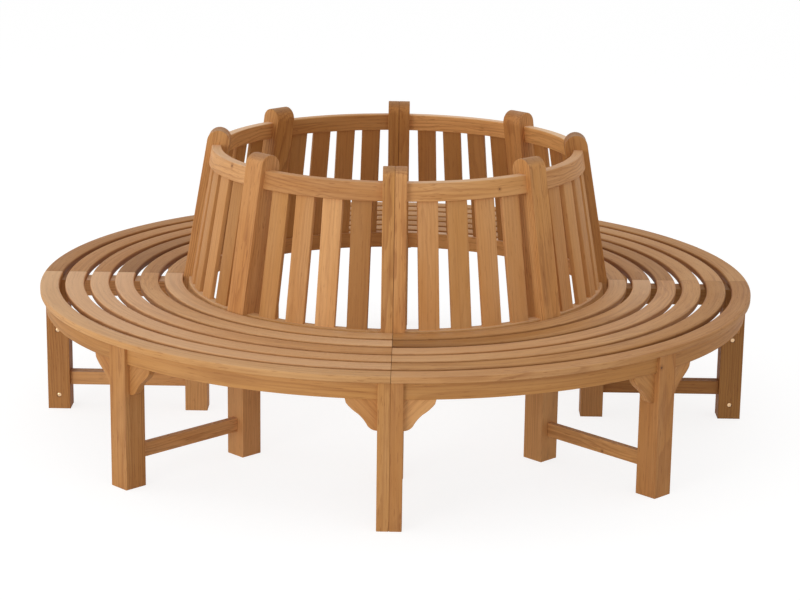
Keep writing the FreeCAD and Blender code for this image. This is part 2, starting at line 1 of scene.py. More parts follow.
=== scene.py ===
# %% [markdown]
# # A round tree bench in oiled hardwood
# The bench stands in a ring round a tree. Its boards arrive as a finished model in metres, with the
# origin on the floor at the middle of the ring and the front of the bench towards -Y. This lesson
# gives the boards a timber finish, sweeps the seat slats and back slats as clean boards, fits the
# bright fasteners, and sets up a small studio.

# %% Load the bench
import math

import bpy
from mathutils import Matrix, Vector


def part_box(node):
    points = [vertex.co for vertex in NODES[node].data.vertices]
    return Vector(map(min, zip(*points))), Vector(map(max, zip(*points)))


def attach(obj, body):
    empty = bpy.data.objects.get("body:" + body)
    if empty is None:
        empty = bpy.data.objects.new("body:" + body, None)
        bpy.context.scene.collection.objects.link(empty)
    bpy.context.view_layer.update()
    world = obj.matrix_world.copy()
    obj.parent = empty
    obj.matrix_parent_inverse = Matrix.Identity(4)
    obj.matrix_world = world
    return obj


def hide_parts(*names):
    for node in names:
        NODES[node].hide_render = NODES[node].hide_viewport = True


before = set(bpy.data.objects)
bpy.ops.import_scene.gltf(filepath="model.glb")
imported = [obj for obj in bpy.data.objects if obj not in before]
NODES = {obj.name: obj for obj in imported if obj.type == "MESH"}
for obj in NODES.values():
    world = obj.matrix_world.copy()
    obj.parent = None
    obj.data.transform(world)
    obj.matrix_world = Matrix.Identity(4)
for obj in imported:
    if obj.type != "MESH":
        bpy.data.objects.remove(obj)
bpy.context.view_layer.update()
print("boards and fasteners:", len(NODES), "nodes")

# %% [markdown]
# The bench is built as four quarter sections, and eight radial frames of legs, posts and bearers
# carry it. Each section starts at a seam, and its angle is counted from +X, anticlockwise seen from
# above. The sizes that later steps need could all be typed in, but then a mended model would no
# longer fit, so most of them are read from the boxes of the boards.

# %% Sizes of the ring
SECTION_START = {"front_left": -180, "front_right": -90, "back_right": 0, "back_left": 90}
FRAMES = 8
FRAME_STEP = 360.0 / FRAMES
SEAT_SLATS = 6
LEAN = math.radians(10)
rim_low, rim_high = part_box("front_left_seat_slat_1")
post_low, post_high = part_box("front_left_back_posts")
SEAT_TOP = rim_high.z
SEAT_RADIUS = -rim_low.x
SLAT_THICKNESS = rim_high.z - rim_low.z
POST_FACE = -post_low.x
CROWN = post_high.z
print(f"seat {SEAT_TOP:.3f} m high, {2 * SEAT_RADIUS:.3f} m across, slats {SLAT_THICKNESS:.3f} m thick")
print(f"posts {POST_FACE:.3f} m from the middle, crowns {CROWN:.3f} m high")

# %% [markdown]
# Finishes and swept boards are both made by trees of nodes. They could be drawn by hand in the node
# editor, but a script can be read, changed and run again. These helpers write a tree line by line: a
# value that is another node's socket is linked, and a plain number is typed into the socket.


# %% Sums in a node tree
def feed(tree, socket, value):
    """Links a socket to another node's socket, or gives it a plain value."""
    if isinstance(value, bpy.types.NodeSocket):
        tree.links.new(value, socket)
    else:
        socket.default_value = value


def maths(tree, operation, *values):
    """A Math node: add, multiply, sine and so on."""
    node = tree.nodes.new("ShaderNodeMath")
    node.operation = operation
    for socket, value in zip(node.inputs, values):
        feed(tree, socket, value)
    return node.outputs[0]


def spread(tree, value, low, high):
    """Stretches a value that runs from 0 to 1, so that it runs from low to high."""
    return maths(tree, "MULTIPLY_ADD", value, high - low, low)


def distance(tree, x, y):
    """How far a point on a flat sheet lies from the sheet's origin."""
    return maths(tree, "SQRT", maths(tree, "ADD", maths(tree, "MULTIPLY", x, x),
                                     maths(tree, "MULTIPLY", y, y)))


print("helpers for sums: feed, maths, spread, distance")

# %% [markdown]
# A place or a direction is three numbers in one socket. It is taken apart to work on one number at a
# time, as a board's length, width and thickness are, and put together again at the end.


# %% Vectors in a node tree
def point(tree, x, y, z):
    """Three numbers joined to one vector."""
    node = tree.nodes.new("ShaderNodeCombineXYZ")
    for socket, value in zip(node.inputs, (x, y, z)):
        feed(tree, socket, value)
    return node.outputs[0]


def parts_of(tree, vector):
    """The X, Y and Z of a vector."""
    node = tree.nodes.new("ShaderNodeSeparateXYZ")
    feed(tree, node.inputs[0], vector)
    return node.outputs


print("helpers for vectors: point, parts_of")

# %% [markdown]
# A node group is a tree with a name that other trees use as if it were one node. An effect that
# several finishes share, such as grain, could be copied into each of them, but as a group it is made
# once, and a mend to it reaches every board.


# %% Node groups
def new_group(name, kind, takes, gives):
    """An empty node group with named inputs and outputs, and the nodes that stand for them."""
    tree = bpy.data.node_groups.new(name, kind)
    for title, socket, value in takes:
        made = tree.interface.new_socket(title, in_out="INPUT", socket_type=socket)
        if value is not None:
            made.default_value = value
    for title, socket in gives:
        tree.interface.new_socket(title, in_out="OUTPUT", socket_type=socket)
    return tree, tree.nodes.new("NodeGroupInput").outputs, tree.nodes.new("NodeGroupOutput").inputs


def place_group(tree, group, **values):
    """Puts a node group in a material. An underscore in a word stands for a space."""
    node = tree.nodes.new("ShaderNodeGroup")
    node.node_tree = group
    for word, value in values.items():
        feed(tree, node.inputs[word.replace("_", " ")], value)
    return node.outputs


print("helpers for groups: new_group, place_group")

# %% [markdown]
# Wood, dust and wear are never even. Three kinds of node do most of the work on them: a noise that
# drifts like clouds, a fade that turns a value into a mask with soft edges, and a mix of two colours.


# %% Noise, fades and colours
def noise(tree, vector, detail=2.0, roughness=0.5):
    """A soft cloud pattern at scale 1: the vector carries the scale."""
    node = tree.nodes.new("ShaderNodeTexNoise")
    feed(tree, node.inputs["Vector"], vector)
    node.inputs["Scale"].default_value = 1.0
    node.inputs["Detail"].default_value = detail
    node.inputs["Roughness"].default_value = roughness
    return node.outputs["Fac"]


def fade(tree, value, low, high):
    """0 below one level, 1 above another, and smooth between them."""
    node = tree.nodes.new("ShaderNodeMapRange")
    node.interpolation_type = "SMOOTHSTEP"
    feed(tree, node.inputs["Value"], value)
    feed(tree, node.inputs["From Min"], low)
    feed(tree, node.inputs["From Max"], high)
    return node.outputs["Result"]


def fade_out(tree, value, low, high):
    """1 below one level, 0 above another, and smooth between them."""
    return maths(tree, "SUBTRACT", 1.0, fade(tree, value, low, high))


def colour_mix(tree, amount, first, second, blend="MIX"):
    """A Mix node for colours."""
    node = tree.nodes.new("ShaderNodeMix")
    node.data_type = "RGBA"
    node.blend_type = blend
    feed(tree, node.inputs["Factor"], amount)
    feed(tree, node.inputs["A"], first)
    feed(tree, node.inputs["B"], second)
    return next(out for out in node.outputs if out.type == "RGBA")


print("helpers for finishes: noise, fade, fade_out, colour_mix")

# %% [markdown]
# Grain runs along each board, and the boards point in every direction round the ring. Each board
# could be unwrapped for a picture of grain, but one group can serve them all. It turns a place on
# the bench into the place on the nearest radial frame: how far out, how far to the side and how
# high. The frames are numbered, with different numbers on the two sides of a seam, so that each
# board can have grain and a tone of its own.

# %% Place on the ring
QUARTER = 90.0
SEAM_NUMBER_STEP = 17.0


def ring_place():
    """Turns a place on the bench into the place on the nearest radial frame."""
    tree, takes, out = new_group(
        "Place on the ring", "ShaderNodeTree",
        [("Place", "NodeSocketVector", None), ("Step", "NodeSocketFloat", FRAME_STEP),
         ("Offset", "NodeSocketFloat", 0.0)],
        [("Local", "NodeSocketVector"), ("Number", "NodeSocketFloat"), ("Way round", "NodeSocketFloat"),
         ("Angle", "NodeSocketFloat"), ("Radius", "NodeSocketFloat")])
    x, y, z = parts_of(tree, takes["Place"])
    angle = maths(tree, "DEGREES", maths(tree, "ARCTAN2", y, x))
    turned = maths(tree, "SUBTRACT", angle, takes["Offset"])
    number = maths(tree, "ROUND", maths(tree, "DIVIDE", turned, takes["Step"]))
    rest = maths(tree, "SUBTRACT", turned, maths(tree, "MULTIPLY", number, takes["Step"]))
    rest = maths(tree, "RADIANS", rest)
    radius = distance(tree, x, y)
    out_along = maths(tree, "MULTIPLY", radius, maths(tree, "COSINE", rest))
    sideways = maths(tree, "MULTIPLY", radius, maths(tree, "SINE", rest))
    quarter = maths(tree, "FLOOR", maths(tree, "DIVIDE", angle, QUARTER))
    turns = maths(tree, "DIVIDE", maths(tree, "ADD", number, FRAMES / 2 + 0.5), FRAMES)
    feed(tree, out["Local"], point(tree, out_along, sideways, z))
    feed(tree, out["Number"], maths(tree, "MULTIPLY_ADD", quarter, SEAM_NUMBER_STEP, number))
    feed(tree, out["Way round"], maths(tree, "FRACT", turns))
    feed(tree, out["Angle"], maths(tree, "RADIANS", angle))
    feed(tree, out["Radius"], radius)
    return tree


RING_PLACE = ring_place()
print(f"{RING_PLACE.name}: {len(RING_PLACE.nodes)} nodes")

# %% [markdown]
# Sawn timber shows its growth rings as long lines and arches, because a straight board cuts through
# a trunk whose rings are slightly tilted to it. Waves of noise can draw lines but hardly these
# arches, so the rings are measured instead: the trunk's middle is imagined a few centimetres outside
# each board, at a random side and tilt, and the distance to it is counted in rings. Late wood darkens
# each ring slowly and ends sharply. All places here are in metres on the board, and each pattern has
# one scale along the board and a larger one across it, which draws it out lengthwise.

# %% Growth rings
GRAIN_SCALES = {"sway": (1.6, 7.0), "figure": (2.0, 24.0), "streaks": (3.0, 150.0),
                "fibres": (14.0, 420.0), "flecks": (26.0, 260.0), "clouds": (2.8, 16.0)}
BOARD_SHIFT = 3.71
HEART_SIDE = 0.06
HEART_DEPTH = (0.02, 0.09)
HEART_SWAY = 0.035
HEART_TILT = 0.035
LATE_WOOD = (0.35, 0.85)
RING_END = (0.9, 1.0)
FIGURE = (0.35, 0.65)


def stretched(tree, board, start, pattern):
    """The place on the board, scaled for one pattern and shifted to the board's own start."""
    lengthwise, crosswise = GRAIN_SCALES[pattern]
    along, across, through = board
    return point(tree, maths(tree, "MULTIPLY_ADD", along, lengthwise, start),
                 maths(tree, "MULTIPLY", across, crosswise), maths(tree, "MULTIPLY", through, crosswise))


def growth_rings(tree, board, start, chances, ring_width):
    """A mask of the late wood in each growth ring, stronger in some stretches than in others."""
    along, across, through = board
    sideways, inwards, tilted = chances
    drift = noise(tree, stretched(tree, board, start, "sway"), detail=3.0)
    sway = spread(tree, drift, -HEART_SWAY, HEART_SWAY)
    tilt = maths(tree, "MULTIPLY", along, spread(tree, tilted, -HEART_TILT, HEART_TILT))
    side = maths(tree, "ADD", spread(tree, sideways, -HEART_SIDE, HEART_SIDE),
                 maths(tree, "ADD", across, maths(tree, "ADD", sway, tilt)))
    depth = maths(tree, "ADD", spread(tree, inwards, *HEART_DEPTH), maths(tree, "ADD", through, sway))
    turns = maths(tree, "FRACT", maths(tree, "DIVIDE", distance(tree, side, depth), ring_width))
    late = maths(tree, "MULTIPLY", fade(tree, turns, *LATE_WOOD), fade_out(tree, turns, *RING_END))
    strength = fade(tree, noise(tree, stretched(tree, board, start, "figure")), *FIGURE)
    return maths(tree, "MULTIPLY", late, strength)


print("patterns along the grain:", ", ".join(GRAIN_SCALES))

# %% [markdown]
# Between the rings a board has darker streaks, fine fibres, short dark flecks where the pores are cut,
# and slow clouds of colour. One noise texture for each, stretched along the board, is enough. The
# group puts out a mask for each, and two random values that are the same all over one board.

# %% Sawn grain
STREAK_FADE = (0.47, 0.68)
FLECK_FADE = (0.64, 0.74)


def grain():
    """Masks for the marks along one board, and two random values of that board."""
    tree, takes, out = new_group(
        "Sawn grain", "ShaderNodeTree",
        [("Board", "NodeSocketVector", None), ("Number", "NodeSocketFloat", 0.0),
         ("Ring width", "NodeSocketFloat", 0.008)],
        [(title, "NodeSocketFloat")
         for title in ("Rings", "Streaks", "Fibres", "Flecks", "Clouds", "Chance", "Warmth")])
    board = parts_of(tree, takes["Board"])
    start = maths(tree, "MULTIPLY", takes["Number"], BOARD_SHIFT)
    dice = tree.nodes.new("ShaderNodeTexWhiteNoise")
    dice.noise_dimensions = "1D"
    feed(tree, dice.inputs["W"], takes["Number"])
    chances = parts_of(tree, dice.outputs["Color"])
    streaks = noise(tree, stretched(tree, board, start, "streaks"), detail=4.0, roughness=0.6)
    fibres = noise(tree, stretched(tree, board, start, "fibres"), detail=3.0, roughness=0.65)
    flecks = noise(tree, stretched(tree, board, start, "flecks"), detail=1.0)
    clouds = noise(tree, stretched(tree, board, start, "clouds"), detail=3.0)
    feed(tree, out["Rings"], growth_rings(tree, board, start, chances, takes["Ring width"]))
    feed(tree, out["Streaks"], fade(tree, streaks, *STREAK_FADE))
    feed(tree, out["Fibres"], fibres)
    feed(tree, out["Flecks"], fade(tree, flecks, *FLECK_FADE))
    feed(tree, out["Clouds"], clouds)
    feed(tree, out["Chance"], chances[0])
    feed(tree, out["Warmth"], chances[1])
    return tree


GRAIN = grain()
print(f"{GRAIN.name}: {len(GRAIN.nodes)} nodes")

# %% [markdown]
# The wood is a golden, fine-grained hardwood. Fresh boards are honey-coloured or tan, and every mark
# on them is a darker, redder shade of the same timber. A picture of wood could carry all this, but it
# would repeat from board to board. So the finish starts from two plain colours and tints them
# wherever a mask says so, mostly with russet.

# %% Colours of the wood
HONEY = (0.556, 0.251, 0.071, 1.0)
TAN = (0.678, 0.370, 0.155, 1.0)
RUSSET = (0.270, 0.088, 0.024, 1.0)
BARK = (0.070, 0.026, 0.012, 1.0)


def tint(tree, base, mask, share, colour=RUSSET):
    """Adds a share of another colour where a mask says so."""
    return colour_mix(tree, maths(tree, "MULTIPLY", mask, share), base, colour)


print("from honey", HONEY[:3], "to bark", BARK[:3])

# %% [markdown]
# Each board gets its base from its tone and the slow clouds, and then every mark along the grain
# tints it by its own share. Fewer and bolder marks would be simpler, but they would look painted on
# from close by. The mixing is a group as well: each kind of board has its own share of tan and its
# own contrast, and all the rest is the same.

# %% Colour along the grain
MARKS = {"Rings": 0.34, "Streaks": 0.30, "Fibres": 0.24, "Flecks": 0.45}
FIBRE_FADE = (0.45, 0.8)
TONE_PULL = 0.4
CLOUD_PULL = 0.55


def sawn_colour():
    """Honey or tan, darkened along the grain."""
    tree, takes, out = new_group(
        "Sawn colour", "ShaderNodeTree",
        [("Tone", "NodeSocketFloat", 0.5), ("Tan share", "NodeSocketFloat", 0.3),
         ("Contrast", "NodeSocketFloat", 1.0)]
        + [(title, "NodeSocketFloat", 0.0) for title in (*MARKS, "Clouds")],
        [("Colour", "NodeSocketColor")])
    drift = maths(tree, "ADD", spread(tree, takes["Tone"], -TONE_PULL, TONE_PULL),
                  spread(tree, takes["Clouds"], -CLOUD_PULL, CLOUD_PULL))
    share = maths(tree, "ADD", takes["Tan share"], drift)
    base = colour_mix(tree, fade(tree, share, 0.0, 1.0), HONEY, TAN)
    for title, depth in MARKS.items():
        mask = fade(tree, takes[title], *FIBRE_FADE) if title == "Fibres" else takes[title]
        base = tint(tree, base, mask, maths(tree, "MULTIPLY", takes["Contrast"], depth))
    feed(tree, out["Colour"], base)
    return tree


SAWN_COLOUR = sawn_colour()
print(f"{SAWN_COLOUR.name}: {len(SAWN_COLOUR.nodes)} nodes")

# %% [markdown]
# A knot is the root of a branch: a small dark core, and a halo where the grain bends round it. Random
# knots would do for a plank, but the bench shows only a few, so each is put in its own place, by its
# centre on the bench and its radius in metres. A group draws one knot on a colour, from the distance
# to its centre counted in radii.

# %% Knots
CORE_EDGE = (0.6, 1.1)
HALO_EDGE = (1.0, 3.5)
CORE_SHARE = 0.8
HALO_SHARE = 0.45
KNOTS = {
    "outer_legs": [((0.754, -0.794, 0.387), 0.004), ((-0.812, -0.731, 0.290), 0.003)],
    "stretchers": [((0.611, -0.625, 0.083), 0.003), ((-0.640, -0.625, 0.105), 0.003)],
    "back_rails": [((-0.485, -0.303, 0.845), 0.004), ((0.300, -0.490, 0.826), 0.003)],
}


def knot():
    """One knot on a colour: the halo first, and the core over it."""
    tree, takes, out = new_group(
        "Knot", "ShaderNodeTree",
        [("Colour", "NodeSocketColor", TAN), ("Place", "NodeSocketVector", None),
         ("Centre", "NodeSocketVector", None), ("Radius", "NodeSocketFloat", 0.004)],
        [("Colour", "NodeSocketColor")])
    away = tree.nodes.new("ShaderNodeVectorMath")
    away.operation = "DISTANCE"
    feed(tree, away.inputs[0], takes["Place"])
    feed(tree, away.inputs[1], takes["Centre"])
    share = maths(tree, "DIVIDE", away.outputs["Value"], takes["Radius"])
    base = tint(tree, takes["Colour"], fade_out(tree, share, *HALO_EDGE), HALO_SHARE)
    feed(tree, out["Colour"], tint(tree, base, fade_out(tree, share, *CORE_EDGE), CORE_SHARE, BARK))
    return tree


KNOT = knot()
print("knots:", sum(len(places) for places in KNOTS.values()))

# %% [markdown]
# Sun and rain bleach the faces that look up. The faces towards the tree are made darker and warmer,
# which is painted shade for the shade inside the ring. Dust settles where two sections meet. Below the
# top of the seat, the sides of the seat slats get painted shade in the narrow gaps between them, and
# the posts get painted light, a paler colour under the seat. These places could be painted by hand,
# but they follow from where a face is and where it looks, so masks can find them on every board, and
# the grain still shows below.

# %% Places that weather, and places of painted shade and light
FACING_IN = (0.2, 0.8)
FACING_UP = (0.4, 0.9)
SEAM_REACH = (0.0004, 0.0014)
GAP_DEPTH = (0.006, 0.002)
RIM_WIDTH = (0.03, 0.02)


def facing_masks(tree, place, normal):
    """Masks of the faces that look towards the tree, and of those that look up."""
    x, y = parts_of(tree, place)[:2]
    towards_x, towards_y, upwards = parts_of(tree, normal)
    outwards = maths(tree, "ADD", maths(tree, "MULTIPLY", x, towards_x),
                     maths(tree, "MULTIPLY", y, towards_y))
    inwards = maths(tree, "MULTIPLY", maths(tree, "DIVIDE", outwards, distance(tree, x, y)), -1.0)
    # The first mask places painted shade on the faces that look towards the tree.
    return fade(tree, inwards, *FACING_IN), fade(tree, upwards, *FACING_UP)


def seam_dust_and_painted_light_masks(tree, place):
    """Masks of the four seams, and of what lies below the top of the seat inside its rim."""
    x, y, z = parts_of(tree, place)
    to_seam = maths(tree, "MINIMUM", maths(tree, "ABSOLUTE", x), maths(tree, "ABSOLUTE", y))
    # Below the seat top and inside its rim: where painted shade and painted light are put.
    below = fade_out(tree, z, *(SEAT_TOP - depth for depth in GAP_DEPTH))
    inside = fade_out(tree, distance(tree, x, y), *(SEAT_RADIUS - width for width in RIM_WIDTH))
    return fade_out(tree, to_seam, *SEAM_REACH), maths(tree, "MULTIPLY", below, inside)


print(f"dust reaches {SEAM_REACH[1] * 1000:.1f} mm from a seam")

# %% [markdown]
# Seat slats are bleached on their upper face, while the sawn tops of the posts show dark end grain
# there. The faces towards the tree are multiplied by a darker, warm colour, which is painted shade.
# The steps could be written into every material, but a group keeps them in one place, and each kind
# of board only says how much of each it has.

# %% Weather and painted light
# Painted shade: the faces towards the tree are multiplied by this darker, warmer colour.
PAINTED_INNER_SHADE = (0.84, 0.75, 0.60, 1.0)
BLEACHED = (0.620, 0.400, 0.240, 1.0)
END_GRAIN = (0.230, 0.120, 0.065, 1.0)


def weather_and_painted_light():
    """A colour that is bleached, dusted, and given painted shade and light by where it is on the bench."""
    tree, takes, out = new_group(
        "Weather", "ShaderNodeTree",
        [("Colour", "NodeSocketColor", TAN), ("Place", "NodeSocketVector", None),
         ("Normal", "NodeSocketVector", None), ("Top colour", "NodeSocketColor", BLEACHED),
         ("Top share", "NodeSocketFloat", 0.5), ("Seam dust", "NodeSocketFloat", 0.0),
         ("Gap colour", "NodeSocketColor", RUSSET), ("Gap share", "NodeSocketFloat", 0.0)],
        [("Colour", "NodeSocketColor")])
    painted_shade, upward = facing_masks(tree, takes["Place"], takes["Normal"])
    seam, below = seam_dust_and_painted_light_masks(tree, takes["Place"])
    base = tint(tree, takes["Colour"], upward, takes["Top share"], takes["Top colour"])
    # Painted shade: the faces that look towards the tree are made darker and warmer.
    base = colour_mix(tree, painted_shade, base, PAINTED_INNER_SHADE, "MULTIPLY")
    base = tint(tree, base, seam, takes["Seam dust"], BARK)
    # Below the seat: painted shade on the sides of the seat slats, painted light on the posts.
    feed(tree, out["Colour"], tint(tree, base, below, takes["Gap share"], takes["Gap colour"]))
    return tree


WEATHER = weather_and_painted_light()
print(f"{WEATHER.name}: {len(WEATHER.nodes)} nodes")

# %% [markdown]
# No two boards have quite the same tone, because they come from different logs. Random tones would
# do for a bench that nobody knows, but here each board is given a tone of its own, and the two legs
# at the sides are set darkest. A ramp with eight steps gives each frame or bay its tone,
# anticlockwise from the left seam: 0 is a dark, red board and 1 a pale one.


# %% Tones round the ring
def tone_round(tree, way, tones):
    """The tone of the frame or bay that this place is in."""
    node = tree.nodes.new("ShaderNodeValToRGB")
    feed(tree, node.inputs["Fac"], way)
    ramp = node.color_ramp
    ramp.interpolation = "CONSTANT"
    for step, tone in enumerate(tones):
        stop = ramp.elements[step] if step < 2 else ramp.elements.new(1.0)
        stop.position = step / len(tones)
        stop.color = (tone, tone, tone, 1.0)
    return node.outputs["Color"]


# The legs at the two sides, first and fifth in the ramp, have the darkest tones.
LEG_TONES = (0.2, 0.4, 0.4, 0.3, 0.1, 0.4, 0.4, 0.4)
POST_TONES = (0.6, 0.5, 0.6, 0.6, 0.3, 0.6, 0.4, 0.5)
BRACKET_TONES = (0.5, 0.3, 0.6, 0.4, 0.5, 0.5, 0.5, 0.5)
CROSS_TONES = (0.7, 0.7, 0.5, 0.7, 0.0, 0.5, 0.5, 0.5)
APRON_TONES = (0.4, 0.4, 0.4, 0.3, 0.5, 0.5, 0.5, 0.5)
RAIL_TONES = (0.7, 0.4, 0.6, 0.6, 0.9, 1.0, 0.5, 0.8)
print("palest leg", max(LEG_TONES), "darkest leg", min(LEG_TONES))

# %% [markdown]
# All boards are of the same timber, but they lie in different directions. Each layout below turns
# the place on the bench into along, across and through the board. Legs and posts have their length
# upwards, and bearers and stretchers have it outwards. A leaning post is followed by sliding the
# place back by the lean. Boards of one frame are told apart by where they are, and a step is added
# to the frame's number, so that their grain differs.

# %% Layouts of straight boards
BETWEEN_LEGS = 0.8
BETWEEN_LEVELS = 0.2
POST_NUMBER = 5.3
STRETCHER_NUMBER = 7.9


def slide_back(tree, out_along, up):
    """Undoes the lean above the seat, so that the grain follows the board."""
    above = maths(tree, "MAXIMUM", maths(tree, "SUBTRACT", up, SEAT_TOP), 0.0)
    return maths(tree, "MULTIPLY_ADD", above, math.tan(LEAN), out_along)


def upright_board(tree, place, tones):
    """Legs and posts: one of each to a radial frame, split by the seam between two sections."""
    on_frame = place_group(tree, RING_PLACE, Place=place)
    out_along, sideways, up = parts_of(tree, on_frame["Local"])
    upright = slide_back(tree, out_along, up)
    inner = maths(tree, "LESS_THAN", upright, BETWEEN_LEGS)
    number = maths(tree, "MULTIPLY_ADD", inner, POST_NUMBER, on_frame["Number"])
    return point(tree, up, sideways, upright), number, tone_round(tree, on_frame["Way round"], tones)


def cross_board(tree, place, tones):
    """Seat bearers and stretchers, which run outwards."""
    on_frame = place_group(tree, RING_PLACE, Place=place)
    out_along, sideways, up = parts_of(tree, on_frame["Local"])
    low = maths(tree, "LESS_THAN", up, BETWEEN_LEVELS)
    number = maths(tree, "MULTIPLY_ADD", low, STRETCHER_NUMBER, on_frame["Number"])
    return point(tree, out_along, up, sideways), number, tone_round(tree, on_frame["Way round"], tones)


print(f"boards are followed back by the lean of {math.degrees(LEAN):.0f} degrees")

# %% [markdown]
# A joiner saws a corner bracket with the grain from its foot on the leg to its tip under the apron,
# because short grain across the narrow ends would snap. So its layout is turned by 45 degrees,
# and mirrored from one side of the leg to the other.

# %% Layout of the brackets
BRACKET_NUMBER = 2.3


def bracket_board(tree, place, tones):
    """Corner brackets, with the grain along the slope."""
    on_frame = place_group(tree, RING_PLACE, Place=place)
    out_along, sideways, up = parts_of(tree, on_frame["Local"])
    away = maths(tree, "ABSOLUTE", sideways)
    along = maths(tree, "MULTIPLY", maths(tree, "ADD", away, up), math.sqrt(0.5))
    across = maths(tree, "MULTIPLY", maths(tree, "SUBTRACT", away, up), math.sqrt(0.5))
    side = maths(tree, "SIGN", sideways)
    number = maths(tree, "MULTIPLY_ADD", side, BRACKET_NUMBER, on_frame["Number"])
    return point(tree, along, across, out_along), number, tone_round(tree, on_frame["Way round"], tones)


print(f"the two brackets of a leg differ by {2 * BRACKET_NUMBER:.1f} in number")

# %% [markdown]
# Aprons and rails are sawn to a curve, and their length goes round the ring. The frames' numbers
# would change in the middle of such a board, so the bays between the frames are numbered instead.
# Boards that are swept later in this lesson carry their own places, numbers and tones, which are
# stored on them before they are bent or set out.

# %% Layouts of curved and swept boards
TOP_RAIL_NUMBER = 3.9
BAY_NUMBER_STEP = 1.3


def ring_board(tree, place, tones):
    """Aprons and back rails: the length is the way round the ring, and the number is the bay's."""
    in_bay = place_group(tree, RING_PLACE, Place=place, Offset=FRAME_STEP / 2)
    up = parts_of(tree, place)[2]
    along = maths(tree, "MULTIPLY", in_bay["Angle"], POST_FACE)
    level = maths(tree, "GREATER_THAN", up, (SEAT_TOP + CROWN) / 2)
    number = maths(tree, "MULTIPLY_ADD", level, TOP_RAIL_NUMBER,
                   maths(tree, "MULTIPLY", in_bay["Number"], BAY_NUMBER_STEP))
    return (point(tree, along, up, slide_back(tree, in_bay["Radius"], up)), number,
            tone_round(tree, in_bay["Way round"], tones))


def own_board(tree, place, tones):
    """Swept boards: all three values are stored on the piece, so place and tones aren't needed."""
    stored = []
    for name, output in (("board", "Vector"), ("number", "Fac"), ("tone", "Fac")):
        node = tree.nodes.new("ShaderNodeAttribute")
        node.attribute_name = name
        stored.append(node.outputs[output])
    return stored


print(f"a rail is {math.radians(FRAME_STEP) * POST_FACE:.3f} m long round the posts")

# %% [markdown]
# Grain, knots, weather, painted shade and painted light come together in the colour of a board. One
# large group could do it, but the number of knots differs from board to board, so the material strings
# the groups together: each takes the colour that the one before it gives. Seat slats are bleached by
# their tone, the pale ones most, and end grain is equally dark on every post.

# %% Colour of a board
END_GRAIN_SHARE = 0.5
BLEACH_FADE = (0.2, 1.0)


def board_colour(tree, coordinates, marks, tone, tan_share, contrast, knots, top, seam_dust, painted_light):
    """The colour of one kind of board: grain, then knots, then weather with painted shade and light."""
    place = coordinates["Object"]
    along_grain = {title: marks[title] for title in (*MARKS, "Clouds")}
    base = place_group(tree, SAWN_COLOUR, Tone=tone, Tan_share=tan_share, Contrast=contrast, **along_grain)
    for centre, radius in knots:
        base = place_group(tree, KNOT, Colour=base["Colour"], Place=place, Centre=centre, Radius=radius)
    top_share = END_GRAIN_SHARE if top == END_GRAIN else fade(tree, tone, *BLEACH_FADE)
    base = place_group(tree, WEATHER, Colour=base["Colour"], Place=place, Normal=coordinates["Normal"],
                       Top_colour=top, Top_share=top_share, Seam_dust=seam_dust, Gap_colour=painted_light[0],
                       Gap_share=painted_light[1])
    return base["Colour"]


print("a board's colour runs through", SAWN_COLOUR.name, "then", KNOT.name, "then", WEATHER.name)

# %% [markdown]
# The boards are oiled, which leaves them slightly satin. A Principled BSDF carries the finish. Its
# colour is shifted a little in hue and brightness from board to board, and the fibres roughen it,
# because oil soaks in between them. A clear coat would give the shine of varnish, which this wood
# doesn't have. The grain is a very shallow bump too: the soft early wood wears away and leaves the
# fibres standing.

# %% Timber finish
TONE_CHANCE = 0.08
HUES = (0.498, 0.502)
BRIGHTNESS = (0.70, 1.26)
ROUGHNESS = (0.50, 0.75)
SPECULAR = 0.25
BUMP_STRENGTH = 0.35
BUMP_HEIGHT = 0.0006


def timber(name, layout, tones, tan_share, ring_width=0.008, knots=(), top=BLEACHED, seam_dust=0.0,
           painted_light=(RUSSET, 0.0), contrast=1.0):
    """Oiled hardwood for one kind of board. The share of tan sets how pale the kind is."""
    material = bpy.data.materials.new(name)
    material.use_nodes = True
    tree = material.node_tree
    surface = tree.nodes["Principled BSDF"]
    coordinates = tree.nodes.new("ShaderNodeTexCoord").outputs
    board, number, tone = layout(tree, coordinates["Object"], tones)
    marks = place_group(tree, GRAIN, Board=board, Number=number, Ring_width=ring_width)
    tone = maths(tree, "ADD", tone, spread(tree, marks["Chance"], -TONE_CHANCE, TONE_CHANCE))
    shift = tree.nodes.new("ShaderNodeHueSaturation")
    feed(tree, shift.inputs["Color"], board_colour(tree, coordinates, marks, tone, tan_share, contrast,
                                                   knots, top, seam_dust, painted_light))
    feed(tree, shift.inputs["Hue"], spread(tree, marks["Warmth"], *HUES))
    feed(tree, shift.inputs["Value"], spread(tree, tone, *BRIGHTNESS))
    feed(tree, surface.inputs["Base Color"], shift.outputs["Color"])
    feed(tree, surface.inputs["Roughness"], spread(tree, marks["Fibres"], *ROUGHNESS))
    surface.inputs["Specular IOR Level"].default_value = SPECULAR
    relief = tree.nodes.new("ShaderNodeBump")
    relief.inputs["Strength"].default_value = BUMP_STRENGTH
    relief.inputs["Distance"].default_value = BUMP_HEIGHT
    feed(tree, relief.inputs["Height"], maths(tree, "SUBTRACT", marks["Fibres"], marks["Rings"]))
    feed(tree, surface.inputs["Normal"], relief.outputs["Normal"])
    return material


print(f"roughness {ROUGHNESS[0]:.2f} to {ROUGHNESS[1]:.2f}, bump {BUMP_HEIGHT * 1000:.1f} mm")
